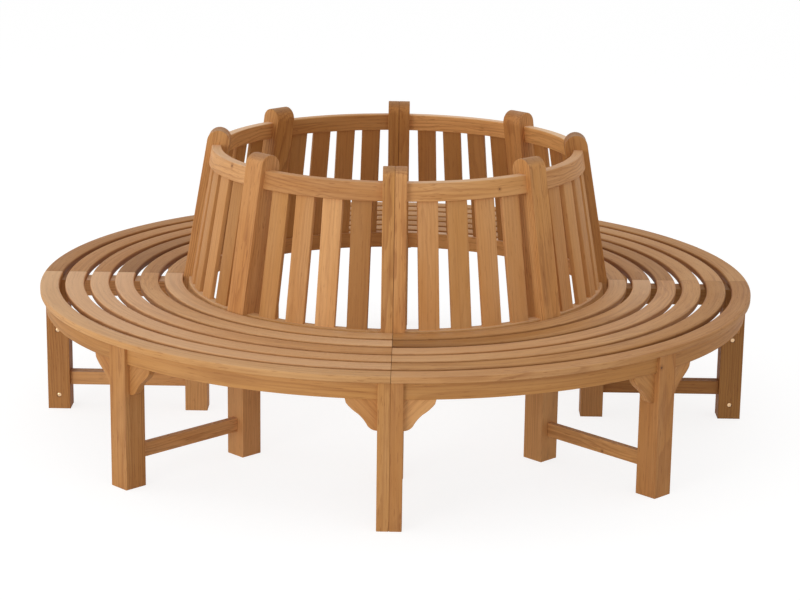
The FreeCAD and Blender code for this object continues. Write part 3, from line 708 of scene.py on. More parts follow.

# %% [markdown]
# Each kind of board gets its own material from the same function, because its direction, its tones,
# its knots and its weather differ. One material for everything would need a switch for each of these.
# The half legs and half posts at a seam carry the dust between them. Below the seat the posts get
# painted light, a paler colour, and the seat slats get painted shade on their sides in the gaps.

# %% Dress the boards
TIMBERS = {
    "outer_legs": timber("leg_timber", upright_board, LEG_TONES, 0.30, knots=KNOTS["outer_legs"],
                         top=END_GRAIN, seam_dust=0.15),
    # Posts: their share below the seat is painted light, a paler tan.
    "back_posts": timber("post_timber", upright_board, POST_TONES, 0.30, top=END_GRAIN, seam_dust=0.45,
                         painted_light=(TAN, 0.4), contrast=1.3),
    "seat_bearers": timber("bearer_timber", cross_board, CROSS_TONES, 0.30),
    "stretchers": timber("stretcher_timber", cross_board, CROSS_TONES, 0.40, knots=KNOTS["stretchers"]),
    "aprons": timber("apron_timber", ring_board, APRON_TONES, 0.30, ring_width=0.012),
    "back_rails": timber("rail_timber", ring_board, RAIL_TONES, 0.45, ring_width=0.012,
                         knots=KNOTS["back_rails"]),
    "back_slats": timber("back_slat_timber", own_board, (), 0.40, contrast=0.6),
    "brackets": timber("bracket_timber", bracket_board, BRACKET_TONES, 0.35),
    # Seat slats: their share below the seat top is painted shade on their sides in the gaps.
    "seat_slat": timber("seat_timber", own_board, (), 0.65, ring_width=0.010, seam_dust=0.4,
                        painted_light=(RUSSET, 0.5)),
}


def dress(piece, material):
    """Gives a piece one material."""
    piece.data.materials.clear()
    piece.data.materials.append(material)


for section in SECTION_START:
    for kind, material in TIMBERS.items():
        if kind == "seat_slat":
            for number in range(1, SEAT_SLATS + 1):
                dress(NODES[f"{section}_seat_slat_{number}"], material)
        else:
            dress(NODES[f"{section}_{kind}"], material)
print("timber finishes:", len(TIMBERS))

# %% [markdown]
# The bolts, nuts and screws are steel, turned on a lathe and left slightly satin. The section bolts
# and their nuts are plated with brass, because their heads show, and the hidden screws are plain
# stainless steel. A fine speckle varies the colour and the roughness, so that each small head
# catches the light unevenly. Marks of the lathe would be too fine to see on heads this small.

# %% Metal finishes
SPECKLE_SCALE = 900.0
SATIN = (0.2, 0.4)


def metal(name, dark, light):
    """Satin metal between two shades of one colour."""
    material = bpy.data.materials.new(name)
    material.use_nodes = True
    tree = material.node_tree
    surface = tree.nodes["Principled BSDF"]
    place = tree.nodes.new("ShaderNodeTexCoord").outputs["Object"]
    scaled = [maths(tree, "MULTIPLY", part, SPECKLE_SCALE) for part in parts_of(tree, place)]
    speckle = noise(tree, point(tree, *scaled))
    surface.inputs["Metallic"].default_value = 1.0
    feed(tree, surface.inputs["Base Color"], colour_mix(tree, speckle, dark, light))
    feed(tree, surface.inputs["Roughness"], spread(tree, speckle, *SATIN))
    return material


STEEL = metal("stainless_steel", (0.62, 0.61, 0.59, 1.0), (0.78, 0.77, 0.75, 1.0))
BRASSED = metal("brassed_steel", (0.68, 0.44, 0.24, 1.0), (0.92, 0.66, 0.40, 1.0))
METALS = {"section_bolts": BRASSED, "sleeve_nuts": BRASSED, "slat_screws": STEEL}
for kind, material in METALS.items():
    dress(NODES[kind], material)
print("metal finishes:", sorted({material.name for material in METALS.values()}))

# %% [markdown]
# Slats and fasteners repeat round the ring, and some hundred copies made by hand would be tedious to
# change. A geometry tree makes one and sets it out by a rule. These helpers add nodes to such a tree,
# write values on the piece for its finish to read, and end every tree with real faces.


# %% Helpers for geometry trees
def new_tree(name, takes):
    """An empty geometry tree with named inputs and one geometry output."""
    return new_group(name, "GeometryNodeTree", takes, [("Geometry", "NodeSocketGeometry")])


def geometry_node(tree, kind, mode=None, **values):
    """A geometry node with its inputs set. An underscore in a word stands for a space."""
    node = tree.nodes.new("GeometryNode" + kind)
    if mode:
        node.mode = mode
    for word, value in values.items():
        feed(tree, node.inputs[word.replace("_", " ")], value)
    return node


def store(tree, geometry, name, value, kind="FLOAT", domain="POINT"):
    """Writes a value on the piece, for the finish to read later."""
    node = tree.nodes.new("GeometryNodeStoreNamedAttribute")
    node.data_type = kind
    node.domain = domain
    feed(tree, node.inputs["Geometry"], geometry)
    feed(tree, node.inputs["Name"], name)
    feed(tree, node.inputs["Value"], value)
    return node.outputs[0]


def finish_tree(tree, geometry, material, out):
    """The end of every tree: real faces instead of instances, and their material."""
    real = geometry_node(tree, "RealizeInstances", Geometry=geometry)
    painted = geometry_node(tree, "SetMaterial", Geometry=real.outputs[0], Material=material)
    feed(tree, out["Geometry"], painted.outputs[0])
    return tree


print("helpers for geometry: new_tree, geometry_node, store, finish_tree")

# %% [markdown]
# A tree of nodes only runs as a modifier on an object. The next helper runs it once, keeps what it
# makes as a plain mesh and takes the modifier off, so that the piece can be handed on like any other.
# It also hides the boards of the model that the piece stands for. Faces are shaded smooth across
# rounded edges and sharp at corners.

# %% From a tree to a piece
SMOOTH_ANGLE = math.radians(35)


def grown(name, tree, start, stands_for, finish, **sizes):
    """Runs a tree on a starting mesh and keeps the result as a plain, smoothed piece."""
    piece = bpy.data.objects.new(name, start or bpy.data.meshes.new(name))
    bpy.context.scene.collection.objects.link(piece)
    maker = piece.modifiers.new("maker", "NODES")
    maker.node_group = tree
    for item in tree.interface.items_tree:
        word = item.name.replace(" ", "_")
        if word in sizes:
            maker[item.identifier] = sizes[word]
    depsgraph = bpy.context.evaluated_depsgraph_get()
    mesh = bpy.data.meshes.new_from_object(piece.evaluated_get(depsgraph), depsgraph=depsgraph)
    piece.modifiers.clear()
    piece.data = mesh
    mesh.name = name
    mesh.shade_smooth()
    mesh.set_sharp_from_angle(angle=SMOOTH_ANGLE)
    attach(piece, "root")
    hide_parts(*stands_for)
    return piece


print(f"edges sharper than {math.degrees(SMOOTH_ANGLE):.0f} degrees stay sharp")

# %% [markdown]
# Both kinds of slat start as a straight board with eased edges. It could be a box with a Bevel
# modifier, but a rounded section swept along a line also gives even stations along the board, which
# a bend needs. The board lies along X, with its width along Y and its thickness along Z, and its
# middle is at the origin.

# %% Straight board
EDGE_STEPS = 4
EDGE_ROUND = 0.002


def straight_board(tree, half, width, thickness, edge_round, stations):
    """Sweeps a section with rounded corners along X. Half is half the length."""
    line = geometry_node(tree, "CurvePrimitiveLine", End=point(tree, half, 0.0, 0.0),
                         Start=point(tree, maths(tree, "MULTIPLY", half, -1.0), 0.0, 0.0))
    line = geometry_node(tree, "ResampleCurve", Curve=line.outputs[0], Count=stations)
    section = geometry_node(tree, "CurvePrimitiveQuadrilateral", Width=width, Height=thickness)
    section = geometry_node(tree, "FilletCurve", "POLY", Curve=section.outputs[0], Count=EDGE_STEPS,
                            Radius=edge_round)
    return geometry_node(tree, "CurveToMesh", Curve=line.outputs[0],
                         Profile_Curve=section.outputs[0], Fill_Caps=True).outputs[0]


def spot_of(tree):
    """Where each point of the piece is at this step."""
    return geometry_node(tree, "InputPosition").outputs[0]


print(f"edges rounded to {EDGE_ROUND * 1000:.0f} mm in {EDGE_STEPS} steps")

# %% [markdown]
# A seat slat is a quarter ring. A joiner saws it from a wide plank with a bandsaw and rounds its
# edges with a router. A curve could be swept round the ring at once, but then the grain would have
# to be worked out for the bent piece. So the straight board stores its places first, and is bent
# after that: the grain follows the curve, and both ends stay square to it.

# %% Bend a board
ARC_STEPS = 72


def bend(tree, board, middle, turn, level):
    """Bends a straight board round the axis of the ring, with its middle line on one radius."""
    along, across, through = parts_of(tree, spot_of(tree))
    angle = maths(tree, "ADD", maths(tree, "DIVIDE", along, middle), maths(tree, "RADIANS", turn))
    radius = maths(tree, "ADD", middle, across)
    bent = point(tree, maths(tree, "MULTIPLY", radius, maths(tree, "COSINE", angle)),
                 maths(tree, "MULTIPLY", radius, maths(tree, "SINE", angle)),
                 maths(tree, "ADD", through, level))
    board = geometry_node(tree, "SetPosition", Geometry=board, Position=bent).outputs[0]
    return geometry_node(tree, "FlipFaces", Mesh=board).outputs[0]


def tone_along(tree, half, first, last):
    """A tone that changes evenly from the start of a board to its end."""
    way = maths(tree, "MULTIPLY_ADD", maths(tree, "DIVIDE", parts_of(tree, spot_of(tree))[0], half),
                0.5, 0.5)
    return maths(tree, "MULTIPLY_ADD", way, maths(tree, "SUBTRACT", last, first), first)


print(f"a bent board turns {QUARTER / ARC_STEPS:.2f} degrees from one station to the next")

# %% [markdown]
# The tree of a seat slat puts these steps together. Its upper edges are rounder than the lower ones,
# as they are where people sit. A Bevel modifier would need weights for that, but the section's four
# corners can each have a radius of their own. It is swept upside down, so the corners below its
# middle become the upper edges. Half a millimetre is left at each end, where two sections meet.

# %% Tree of a seat slat
SLAT_WIDTH = 0.058
TOP_ROUND = 0.005
SEAM_HALF_GAP = 0.0005


def bent_board():
    """A seat slat: a straight board that stores its own places and is then bent."""
    tree, takes, out = new_tree("Bent board", [
        ("Outer radius", "NodeSocketFloat", SEAT_RADIUS), ("Width", "NodeSocketFloat", SLAT_WIDTH),
        ("Thickness", "NodeSocketFloat", SLAT_THICKNESS), ("Top", "NodeSocketFloat", SEAT_TOP),
        ("Top round", "NodeSocketFloat", TOP_ROUND), ("Low round", "NodeSocketFloat", EDGE_ROUND),
        ("Turn", "NodeSocketFloat", 0.0), ("Arc", "NodeSocketFloat", QUARTER),
        ("End gap", "NodeSocketFloat", SEAM_HALF_GAP), ("Number", "NodeSocketFloat", 0.0),
        ("First tone", "NodeSocketFloat", 0.5), ("Last tone", "NodeSocketFloat", 0.5),
        ("Material", "NodeSocketMaterial", None)])
    middle = maths(tree, "SUBTRACT", takes["Outer radius"], maths(tree, "MULTIPLY", takes["Width"], 0.5))
    half_arc = maths(tree, "SUBTRACT", maths(tree, "RADIANS", maths(tree, "MULTIPLY", takes["Arc"], 0.5)),
                     maths(tree, "DIVIDE", takes["End gap"], middle))
    half = maths(tree, "MULTIPLY", half_arc, middle)
    upper = maths(tree, "LESS_THAN", parts_of(tree, spot_of(tree))[1], 0.0)
    extra = maths(tree, "SUBTRACT", takes["Top round"], takes["Low round"])
    edge_round = maths(tree, "MULTIPLY_ADD", upper, extra, takes["Low round"])
    board = straight_board(tree, half, takes["Width"], takes["Thickness"], edge_round, ARC_STEPS + 1)
    board = store(tree, board, "board", spot_of(tree), "FLOAT_VECTOR")
    board = store(tree, board, "number", takes["Number"])
    board = store(tree, board, "tone", tone_along(tree, half, takes["First tone"], takes["Last tone"]))
    level = maths(tree, "SUBTRACT", takes["Top"], maths(tree, "MULTIPLY", takes["Thickness"], 0.5))
    board = bend(tree, board, middle, takes["Turn"], level)
    return finish_tree(tree, board, takes["Material"], out)


BENT_BOARD = bent_board()
print(f"{BENT_BOARD.name}: {len(BENT_BOARD.nodes)} nodes")

# %% [markdown]
# Six slats make up each quarter of the seat, with gaps for the rain. They are counted from the rim
# inwards. An Array modifier could repeat one slat, but every ring has a radius of its own, so the
# tree runs once for each. A slat has a tone at each end, counted anticlockwise, because a long board
# changes along its length. Most slats of a section match, and the odd ones are listed by themselves.

# %% Lay the seat slats
SLAT_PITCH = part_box("front_left_seat_slat_2")[0].x - rim_low.x
BOARD_NUMBER_STEP = 0.1
SEAT_TONES = {"front_left": (0.7, 0.5), "front_right": (0.3, 0.3), "back_right": (0.3, 0.3),
              "back_left": (0.3, 0.2)}
ODD_SLATS = {
    ("front_left", 2): (0.6, 0.5), ("front_left", 4): (0.7, 0.3), ("front_left", 5): (0.3, 0.6),
    ("front_right", 1): (0.4, 0.0), ("front_right", 2): (0.3, 0.1), ("front_right", 3): (0.5, 0.3),
    ("front_right", 4): (0.5, 0.4), ("front_right", 5): (-0.1, 0.7), ("front_right", 6): (0.3, 0.6),
    ("back_right", 4): (0.1, 0.2), ("back_right", 5): (0.1, 0.2),
    ("back_left", 1): (0.2, 0.0), ("back_left", 4): (0.1, -0.3), ("back_left", 5): (0.3, 0.0),
}
for section, start in SECTION_START.items():
    for number in range(1, SEAT_SLATS + 1):
        node = f"{section}_seat_slat_{number}"
        first_tone, last_tone = ODD_SLATS.get((section, number), SEAT_TONES[section])
        grown(f"{node}_board", BENT_BOARD, None, [node], "teak",
              Outer_radius=SEAT_RADIUS - (number - 1) * SLAT_PITCH, Turn=start + QUARTER / 2,
              Number=start * BOARD_NUMBER_STEP + number, First_tone=first_tone, Last_tone=last_tone,
              Material=TIMBERS["seat_slat"])
print(f"seat slats: {len(SECTION_START) * SEAT_SLATS}, {SLAT_PITCH:.3f} m apart")

# %% [markdown]
# A back slat is a straight flat board, let into the bottom and the top rail. Four stand in each bay,
# a little under nine degrees apart, and all lean towards the tree. Their length could be typed in,
# but the box of the model's slats gives it: a leaning board is as tall as its length times the cosine
# of the lean, and its thickness adds a little. The slats stand behind the outer faces of the posts,
# by a setback that is measured square to the lean.

# %% Sizes of the back slats
BAY_SLATS = 4
SLAT_STEP = 8.7
BACK_SLAT_WIDTH = 0.060
BACK_SLAT_THICKNESS = 0.014
SLAT_SETBACK = 0.031
slat_low, slat_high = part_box("front_left_back_slats")
slat_rise = slat_high.z - slat_low.z - BACK_SLAT_THICKNESS * math.sin(LEAN)
BACK_SLAT_LENGTH = slat_rise / math.cos(LEAN)
SLAT_MIDDLE = (slat_low.z + slat_high.z) / 2
SLAT_RADIUS = POST_FACE - (SLAT_MIDDLE - SEAT_TOP) * math.tan(LEAN) - SLAT_SETBACK / math.cos(LEAN)
print(f"back slats {BACK_SLAT_LENGTH:.4f} m long, middle {SLAT_RADIUS:.4f} m out, {SLAT_MIDDLE:.3f} m up")

# %% [markdown]
# The eight slats of a section are counted anticlockwise. A joiner would mark them out on the rail
# with dividers, and a list of eight angles would do the same, but one sum finds the angle of any slat
# from its place in the count: first its bay, and then its place within the bay.


# %% Angle of a back slat
def slat_angle(tree, takes, index):
    """The way round the ring of one slat, in degrees, from its place in the count."""
    bay = maths(tree, "FLOOR", maths(tree, "DIVIDE", index, takes["Slats in bay"]))
    in_bay = maths(tree, "MODULO", index, takes["Slats in bay"])
    middle = maths(tree, "MULTIPLY", maths(tree, "SUBTRACT", takes["Slats in bay"], 1.0), 0.5)
    bay_angle = maths(tree, "MULTIPLY_ADD", maths(tree, "ADD", bay, 0.5), takes["Bay"], takes["Turn"])
    return maths(tree, "ADD", bay_angle,
                 maths(tree, "MULTIPLY", maths(tree, "SUBTRACT", in_bay, middle), takes["Slat step"]))


print(f"first slat {FRAME_STEP / 2 - (BAY_SLATS - 1) / 2 * SLAT_STEP:.2f} degrees from its seam")

# %% [markdown]
# The boards could be placed one by one with a loop, but a tree shows the rule: it makes one board,
# leans it, and sets out a copy for each point that it is given. The points carry the tone of each
# board, and the copies keep it.


# %% Tree of the back slats
def leaning_slats():
    """The back slats of one section: one board, leant and set out on the points it is given."""
    tree, takes, out = new_tree("Leaning slats", [
        ("Places", "NodeSocketGeometry", None),
        ("Length", "NodeSocketFloat", BACK_SLAT_LENGTH), ("Width", "NodeSocketFloat", BACK_SLAT_WIDTH),
        ("Thickness", "NodeSocketFloat", BACK_SLAT_THICKNESS),
        ("Edge round", "NodeSocketFloat", EDGE_ROUND), ("Centre radius", "NodeSocketFloat", SLAT_RADIUS),
        ("Centre height", "NodeSocketFloat", SLAT_MIDDLE), ("Lean", "NodeSocketFloat", LEAN),
        ("Turn", "NodeSocketFloat", 0.0), ("Bay", "NodeSocketFloat", FRAME_STEP),
        ("Slats in bay", "NodeSocketInt", BAY_SLATS), ("Slat step", "NodeSocketFloat", SLAT_STEP),
        ("First number", "NodeSocketFloat", 0.0), ("Material", "NodeSocketMaterial", None)])
    half = maths(tree, "MULTIPLY", takes["Length"], 0.5)
    board = straight_board(tree, half, takes["Width"], takes["Thickness"], takes["Edge round"], 2)
    board = store(tree, board, "board", spot_of(tree), "FLOAT_VECTOR")
    board = geometry_node(tree, "SetMaterial", Geometry=board, Material=takes["Material"]).outputs[0]
    upright = maths(tree, "SUBTRACT", -math.pi / 2, takes["Lean"])
    board = geometry_node(tree, "Transform", Geometry=board, Rotation=point(tree, 0.0, upright, 0.0),
                          Translation=point(tree, takes["Centre radius"], 0.0, takes["Centre height"]))
    index = geometry_node(tree, "InputIndex").outputs[0]
    turn = maths(tree, "RADIANS", slat_angle(tree, takes, index))
    boards = geometry_node(tree, "InstanceOnPoints", Points=takes["Places"], Instance=board.outputs[0],
                           Rotation=point(tree, 0.0, 0.0, turn))
    boards = store(tree, boards.outputs[0], "number", maths(tree, "ADD", index, takes["First number"]),
                   domain="INSTANCE")
    return finish_tree(tree, boards, takes["Material"], out)


LEANING_SLATS = leaning_slats()
print(f"{LEANING_SLATS.name}: {len(LEANING_SLATS.nodes)} nodes")

# %% [markdown]
# Each section gets its two bays of slats as one piece. The tones are given here too: most slats of a
# section match, and the odd ones are listed by their place in the count. The starting mesh is only a
# row of points at the origin, one for each slat, with the tone stored on it.

# %% Stand the back slats
SECTION_BAYS = FRAMES // len(SECTION_START)
SECTION_BACK_SLATS = SECTION_BAYS * BAY_SLATS
BACK_TONES = {"front_left": 0.5, "front_right": 0.5, "back_right": 0.4, "back_left": 0.4}
ODD_BACK_SLATS = {"front_left": {3: 0.2, 6: 0.7, 7: 0.1},
                  "front_right": {0: 0.6, 2: 0.6, 3: 0.6, 4: 0.6, 5: 0.6}}
for order, (section, start) in enumerate(SECTION_START.items()):
    node = f"{section}_back_slats"
    odd = ODD_BACK_SLATS.get(section, {})
    tones = [odd.get(index, BACK_TONES[section]) for index in range(SECTION_BACK_SLATS)]
    places = bpy.data.meshes.new(node)
    places.from_pydata([(0.0, 0.0, 0.0)] * len(tones), [], [])
    places.attributes.new("tone", "FLOAT", "POINT").data.foreach_set("value", tones)
    piece = grown(f"{node}_boards", LEANING_SLATS, places, [node], "teak", Turn=float(start),
                  First_number=float(order * SECTION_BACK_SLATS), Material=TIMBERS["back_slats"])
print(f"back slats: {SECTION_BACK_SLATS} to a section, {len(piece.data.polygons)} faces")

# %% [markdown]
# Bolts, nuts and screws are turned parts. Spin could sweep their outline round, but the sockets in
# their heads aren't round. So a fastener is a stack of rings of points, from the end of its shank
# to the floor of its socket, joined by faces. A ring can be round or hexagonal, or like a cross that
# keeps its radius at four arms and is drawn in between them.

# %% Rings of a turned part
HEAD_POINTS = 24
SCREW_POINTS = 12
ARM_SINE = 0.6
NOTCH_SHARE = 0.36


def ring(count, level, radius, shape="round"):
    """A ring of points: round, hexagonal or like a cross."""
    spots = []
    for index in range(count):
        angle = 2 * math.pi * index / count
        reach = radius
        if shape == "hexagon":
            reach = radius / math.cos(angle % (math.pi / 3) - math.pi / 6)
        if shape == "cross" and abs(math.sin(2 * angle)) > ARM_SINE:
            reach = radius * NOTCH_SHARE
        spots.append((reach * math.cos(angle), reach * math.sin(angle), level))
    return spots


corners = ring(HEAD_POINTS, 0.0, 1.0, "hexagon")
corner_reach = max(math.hypot(x, y) for x, y, level in corners)
print(f"the corners of a hexagon lie {corner_reach:.3f} times as far out as its flats")

# %% [markdown]
# The half legs and half posts of two sections are clamped face to face by connector bolts, with a
# flat head and a hexagon socket. A bolt could be a cylinder with others cut out of it, but rings give
# clean faces. An outline lists the level and the radius of each ring in metres, and its shape where
# it isn't round. The underside of the head is at the origin, and the shank points down.

# %% Bolt
HEAD_RADIUS = 0.007
HEAD_HEIGHT = 0.004
SOCKET_RADIUS = 0.0021
SOCKET_FLOOR = 0.0018
BOLT_RADIUS = 0.003


def turned(name, material, count, outline):
    """A closed mesh through the rings of an outline."""
    points = [spot for step in outline for spot in ring(count, *step)]
    faces = [tuple(reversed(range(count)))]
    for low in range(0, len(points) - count, count):
        for index in range(count):
            after = (index + 1) % count
            faces.append((low + index, low + after, low + count + after, low + count + index))
    faces.append(tuple(range(len(points) - count, len(points))))
    mesh = bpy.data.meshes.new(name)
    mesh.from_pydata(points, [], faces)
    mesh.materials.append(material)
    return bpy.data.objects.new(name, mesh)


FLAT_HEAD = [(0.0, HEAD_RADIUS), (0.0031, HEAD_RADIUS), (0.0037, 0.0068), (HEAD_HEIGHT, 0.0063),
             (HEAD_HEIGHT, SOCKET_RADIUS, "hexagon"), (SOCKET_FLOOR, SOCKET_RADIUS, "hexagon")]
BOLT = turned("bolt", BRASSED, HEAD_POINTS,
              [(-0.043, 0.0024), (-0.0424, BOLT_RADIUS), (0.0, BOLT_RADIUS)] + FLAT_HEAD)
print("bolt:", len(BOLT.data.polygons), "faces")

# %% [markdown]
# A sleeve nut goes in on the other side of the joint. It is a short tube with the head of the bolt,
# and its outline starts inside the tube, goes down to the rim and comes up outside. Screws with a
# cross recess hold the seat slats from below. They could share the bolt's head, but a screw's head is
# domed and smaller, and twelve points are enough for a part that hides in a recess.

# %% Sleeve nut and screw
SLEEVE_RADIUS = 0.0045
SLEEVE_END = -0.030
SCREW_RADIUS = 0.0025
SCREW_HEAD_RADIUS = 0.0045
NUT = turned("nut", BRASSED, HEAD_POINTS,
             [(-0.013, BOLT_RADIUS), (SLEEVE_END, BOLT_RADIUS), (SLEEVE_END, SLEEVE_RADIUS),
              (0.0, SLEEVE_RADIUS)] + FLAT_HEAD)
SCREW = turned("screw", STEEL, SCREW_POINTS,
               [(-0.044, 0.0004), (-0.038, SCREW_RADIUS), (0.0, SCREW_RADIUS), (0.0, SCREW_HEAD_RADIUS),
                (0.0028, SCREW_HEAD_RADIUS), (HEAD_HEIGHT, 0.0032), (HEAD_HEIGHT, 0.0021, "cross"),
                (0.0022, 0.0015, "cross")])
print("nut:", len(NUT.data.polygons), "faces, screw:", len(SCREW.data.polygons), "faces")

# %% [markdown]
# The places of the fasteners come from the joinery. At each seam, bolts at two levels go through the
# outer leg, one goes through the inner leg, and one through the leaning post. Their heads sit in
# recesses, and a nut faces each bolt from the other side. The places could be read off the model one
# by one, but a rule for each kind is shorter and easier to check. Every place is written as angle,
# out, sideways, up and tip-over, in degrees and metres.

# %% Places of the bolts
SEAMS = (-90, 0, 90, 180)
HALF_LEG = 0.035
LEG_SETBACK = 0.006
BOLT_LEVELS = (0.045, 0.257)
BACK_BOLT_REACH = 0.070
HEAD_DEPTH = 0.006
head_seat = HALF_LEG - HEAD_DEPTH
leg_middle = SEAT_RADIUS - LEG_SETBACK - HALF_LEG
post_bolt = (POST_FACE - BACK_BOLT_REACH * math.sin(LEAN) - HALF_LEG * math.cos(LEAN),
             SEAT_TOP + BACK_BOLT_REACH * math.cos(LEAN) - HALF_LEG * math.sin(LEAN))
bores = [(leg_middle, BOLT_LEVELS[0]), (leg_middle, BOLT_LEVELS[1]),
         (POST_FACE - HALF_LEG, BOLT_LEVELS[1]), post_bolt]
bolts = [(seam, out, head_seat, up, -90) for seam in SEAMS for out, up in bores]
nuts = [(seam, out, -head_seat, up, 90) for seam in SEAMS for out, up in bores]
print(f"places: {len(bolts)} bolts and {len(nuts)} nuts")

# %% [markdown]
# The seat slats are screwed from below, so that no head shows or holds water. Two screws in each bay
# rise through the apron into the rim, and each of the other slats has a screw over every bearer. At a
# seam there are two half bearers, and each takes a screw of its own.

# %% Places of the screws
APRON_SCREW_ANGLE = 13
APRON_DEPTH = 0.025
HALF_BEARER = 0.0175
SCREW_RECESS = 0.018
apron_middle = SEAT_RADIUS - LEG_SETBACK - APRON_DEPTH
screw_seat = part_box("front_left_seat_bearers")[0].z + SCREW_RECESS
screws = [(FRAME_STEP * (bay + 0.5) + side * APRON_SCREW_ANGLE, apron_middle, 0.0, screw_seat, 180)
          for bay in range(FRAMES) for side in (-1, 1)]
for number in range(1, SEAT_SLATS):
    out = SEAT_RADIUS - number * SLAT_PITCH - SLAT_WIDTH / 2
    for start in SECTION_START.values():
        for angle, sideways in ((0, HALF_BEARER), (FRAME_STEP, 0.0), (QUARTER, -HALF_BEARER)):
            screws.append((start + angle, out, sideways, screw_seat, 180))
print(f"places: {len(screws)} screws, heads {screw_seat:.3f} m up")

# %% [markdown]
# One tree sets out all three kinds. It takes a mesh of single points, puts the fastener on each, and
# turns it as the point says. Objects could be duplicated instead, but then each copy would be one
# more piece to carry along, and so many small pieces are slow to handle.


# %% Set out the fasteners
def set_out():
    """A copy of one fastener on each point, turned as the point says."""
    tree, takes, out = new_tree("Set out", [
        ("Places", "NodeSocketGeometry", None), ("Fastener", "NodeSocketObject", None),
        ("Material", "NodeSocketMaterial", None)])
    master = geometry_node(tree, "ObjectInfo", Object=takes["Fastener"])
    turn = tree.nodes.new("GeometryNodeInputNamedAttribute")
    turn.data_type = "FLOAT_VECTOR"
    turn.inputs["Name"].default_value = "turn"
    copies = geometry_node(tree, "InstanceOnPoints", Points=takes["Places"],
                           Instance=master.outputs["Geometry"], Rotation=turn.outputs["Attribute"])
    return finish_tree(tree, copies.outputs[0], takes["Material"], out)


def places_mesh(name, places):
    """A mesh of single points, with the turn of each fastener stored on its point."""
    mesh = bpy.data.meshes.new(name)
    turns = [(math.radians(tip), 0.0, math.radians(angle)) for angle, out, sideways, up, tip in places]
    spots = [Matrix.Rotation(math.radians(angle), 3, "Z") @ Vector((out, sideways, up))
             for angle, out, sideways, up, tip in places]
    mesh.from_pydata(spots, [], [])
    stored = mesh.attributes.new("turn", "FLOAT_VECTOR", "POINT")
    for index, turn in enumerate(turns):
        stored.data[index].vector = turn
    return mesh


SET_OUT = set_out()
for kind, master, places in (("section_bolts", BOLT, bolts), ("sleeve_nuts", NUT, nuts),
                             ("slat_screws", SCREW, screws)):
    piece = grown(f"{kind}_turned", SET_OUT, places_mesh(kind, places), [kind], "steel",
                  Fastener=master, Material=METALS[kind])
    print(f"{kind}: {len(places)}, {len(piece.data.polygons)} faces")
    bpy.data.objects.remove(master)

# %% [markdown]
# The bench stands on white studio paper. Stronger lamps would turn the paper white, but they would
# bleach the wood as well. So what the camera sees of the paper is mostly a glow of its own with a
# small share of real shading, which keeps the ground white and the shadow under the bench faint. For
# all other light it is plain pale paper, which throws light up under the seat.

# %% Studio paper
PAPER = (0.88, 0.88, 0.88, 1.0)
PAPER_SEEN = (0.26, 0.26, 0.26, 1.0)
PAPER_GLOW = 0.82


def looked_at(tree):
    """1 for what the camera sees, by itself, in a polished face or through glass, and otherwise 0."""
    rays = tree.nodes.new("ShaderNodeLightPath").outputs
    return maths(tree, "MAXIMUM", rays["Is Camera Ray"],
                 maths(tree, "MAXIMUM", rays["Is Glossy Ray"], rays["Is Transmission Ray"]))


def studio_paper():
    """Matt paper with a glow that only shows where it is looked at."""
    material = bpy.data.materials.new("studio_white")
    material.use_nodes = True
    tree = material.node_tree
    tree.nodes.clear()
    seen = looked_at(tree)
    matt = tree.nodes.new("ShaderNodeBsdfDiffuse")
    feed(tree, matt.inputs["Color"], colour_mix(tree, seen, PAPER, PAPER_SEEN))
    bright = tree.nodes.new("ShaderNodeEmission")
    feed(tree, bright.inputs["Strength"], maths(tree, "MULTIPLY", seen, PAPER_GLOW))
    blend = tree.nodes.new("ShaderNodeAddShader")
    feed(tree, blend.inputs[0], matt.outputs[0])
    feed(tree, blend.inputs[1], bright.outputs[0])
    output = tree.nodes.new("ShaderNodeOutputMaterial")
    feed(tree, output.inputs["Surface"], blend.outputs[0])
    return material


paper = studio_paper()
print(f"{paper.name}: {len(paper.node_tree.nodes)} nodes")

# %% [markdown]
# In a real studio the paper curves up behind the bench to hide the horizon. Here the sky is as white
# as the paper, so one flat sheet is enough. It reaches far beyond the view.

# %% Studio floor
FLOOR_REACH = 30.0
sheet = bpy.data.meshes.new("studio_floor")
sheet.from_pydata([(-FLOOR_REACH, -FLOOR_REACH, 0), (FLOOR_REACH, -FLOOR_REACH, 0),
                   (FLOOR_REACH, FLOOR_REACH, 0), (-FLOOR_REACH, FLOOR_REACH, 0)], [], [(0, 1, 2, 3)])
sheet.materials.append(paper)
studio_floor = bpy.data.objects.new("studio_floor", sheet)
bpy.context.scene.collection.objects.link(studio_floor)
print(f"floor {2 * FLOOR_REACH:.0f} m square")

# %% [markdown]
# Three large soft lamps light the bench. The main lamp stands low on the left in front and shapes
# the legs and slats, the second lights the left side, and the third hangs above and brightens the
# seat. Small lamps would draw hard shadows of the slats, so a studio uses large ones.

# %% Studio lamps
LAMPS = {"main_lamp": ((-4.5, -6.5, 1.8), 3.0, 135), "side_lamp": ((-7.0, 0.0, 3.0), 4.0, 60),
         "top_lamp": ((0.0, -0.5, 6.0), 5.0, 45)}
AIM = Vector((0, 0, 0.5))


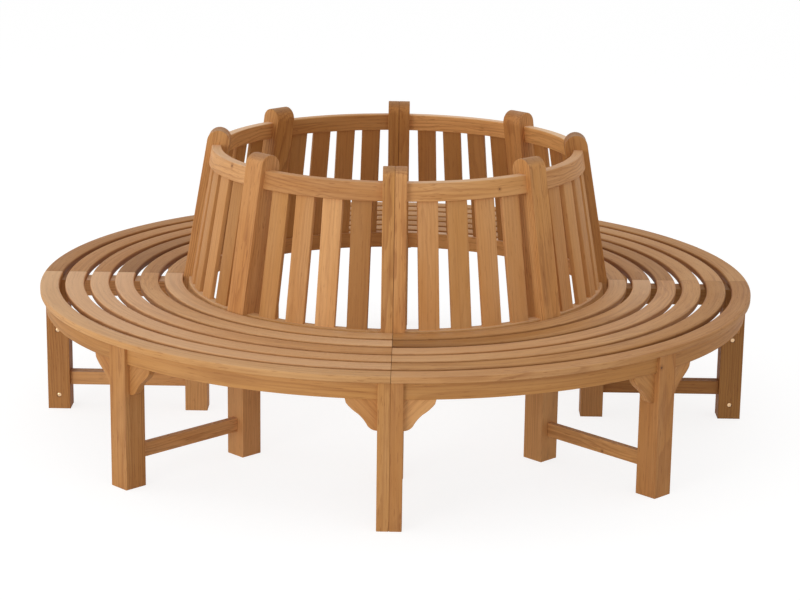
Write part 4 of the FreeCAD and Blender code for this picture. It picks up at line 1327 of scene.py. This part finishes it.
def soft_lamp(name, at, size, power):
    """A square area lamp, with its side in metres and its power in watts, turned to the bench."""
    lamp = bpy.data.lights.new(name, "AREA")
    lamp.shape = "SQUARE"
    lamp.size = size
    lamp.energy = power
    light = bpy.data.objects.new(name, lamp)
    light.location = at
    light.rotation_euler = (AIM - Vector(at)).to_track_quat("-Z", "Y").to_euler()
    bpy.context.scene.collection.objects.link(light)


for name, (at, size, power) in LAMPS.items():
    soft_lamp(name, at, size, power)
print("lamps:", ", ".join(LAMPS))

# %% [markdown]
# An even sky fills the shadows. One strength for everything would either grey the backdrop or bleach
# the wood, so it is plain white where the camera or a polished face looks at it, and dimmer as a
# light.

# %% Studio sky
SKY_LIGHT = 0.66
world = bpy.data.worlds.new("studio_world")
bpy.context.scene.world = world
world.use_nodes = True
sky = world.node_tree
backdrop = sky.nodes["Background"]
backdrop.inputs["Color"].default_value = (1.0, 1.0, 1.0, 1.0)
feed(sky, backdrop.inputs["Strength"], spread(sky, looked_at(sky), SKY_LIGHT, 1.0))
print(f"sky {SKY_LIGHT:.2f} as a light and 1 to the camera")

# %% [markdown]
# The camera stands in front of the bench, a little above it, with a long lens. It could be placed by
# eye, but then the legs and rims would not fall where they do in the photograph. So its place, tilt
# and small roll were worked out from the feet and the rims of the seat, and the small shifts of the
# lens centre the frame.

# %% Camera
LENS = 101.47
FILM_WIDTH = 36.0
SHIFT = (0.0059, 0.0002)
DISTANCE = 6.848
HEIGHT = 2.1605
PITCH, ROLL, SWING = (math.radians(angle) for angle in (14.713, 0.75, 0.495))
camera = bpy.data.cameras.new("photo_camera")
camera.lens = LENS
camera.sensor_width = FILM_WIDTH
camera.shift_x, camera.shift_y = SHIFT
camera.clip_end = 200.0
viewer = bpy.data.objects.new("photo_camera", camera)
look = Matrix.Rotation(math.radians(90) - PITCH, 4, "X") @ Matrix.Rotation(ROLL, 4, "Z")
viewer.matrix_world = Matrix.Rotation(SWING, 4, "Z") @ Matrix.Translation((0, -DISTANCE, HEIGHT)) @ look
bpy.context.scene.collection.objects.link(viewer)
bpy.context.scene.camera = viewer
bpy.context.scene.view_settings.view_transform = "Standard"
print(f"camera {DISTANCE:.2f} m from the middle and {HEIGHT:.2f} m up, lens {LENS:.0f} mm")
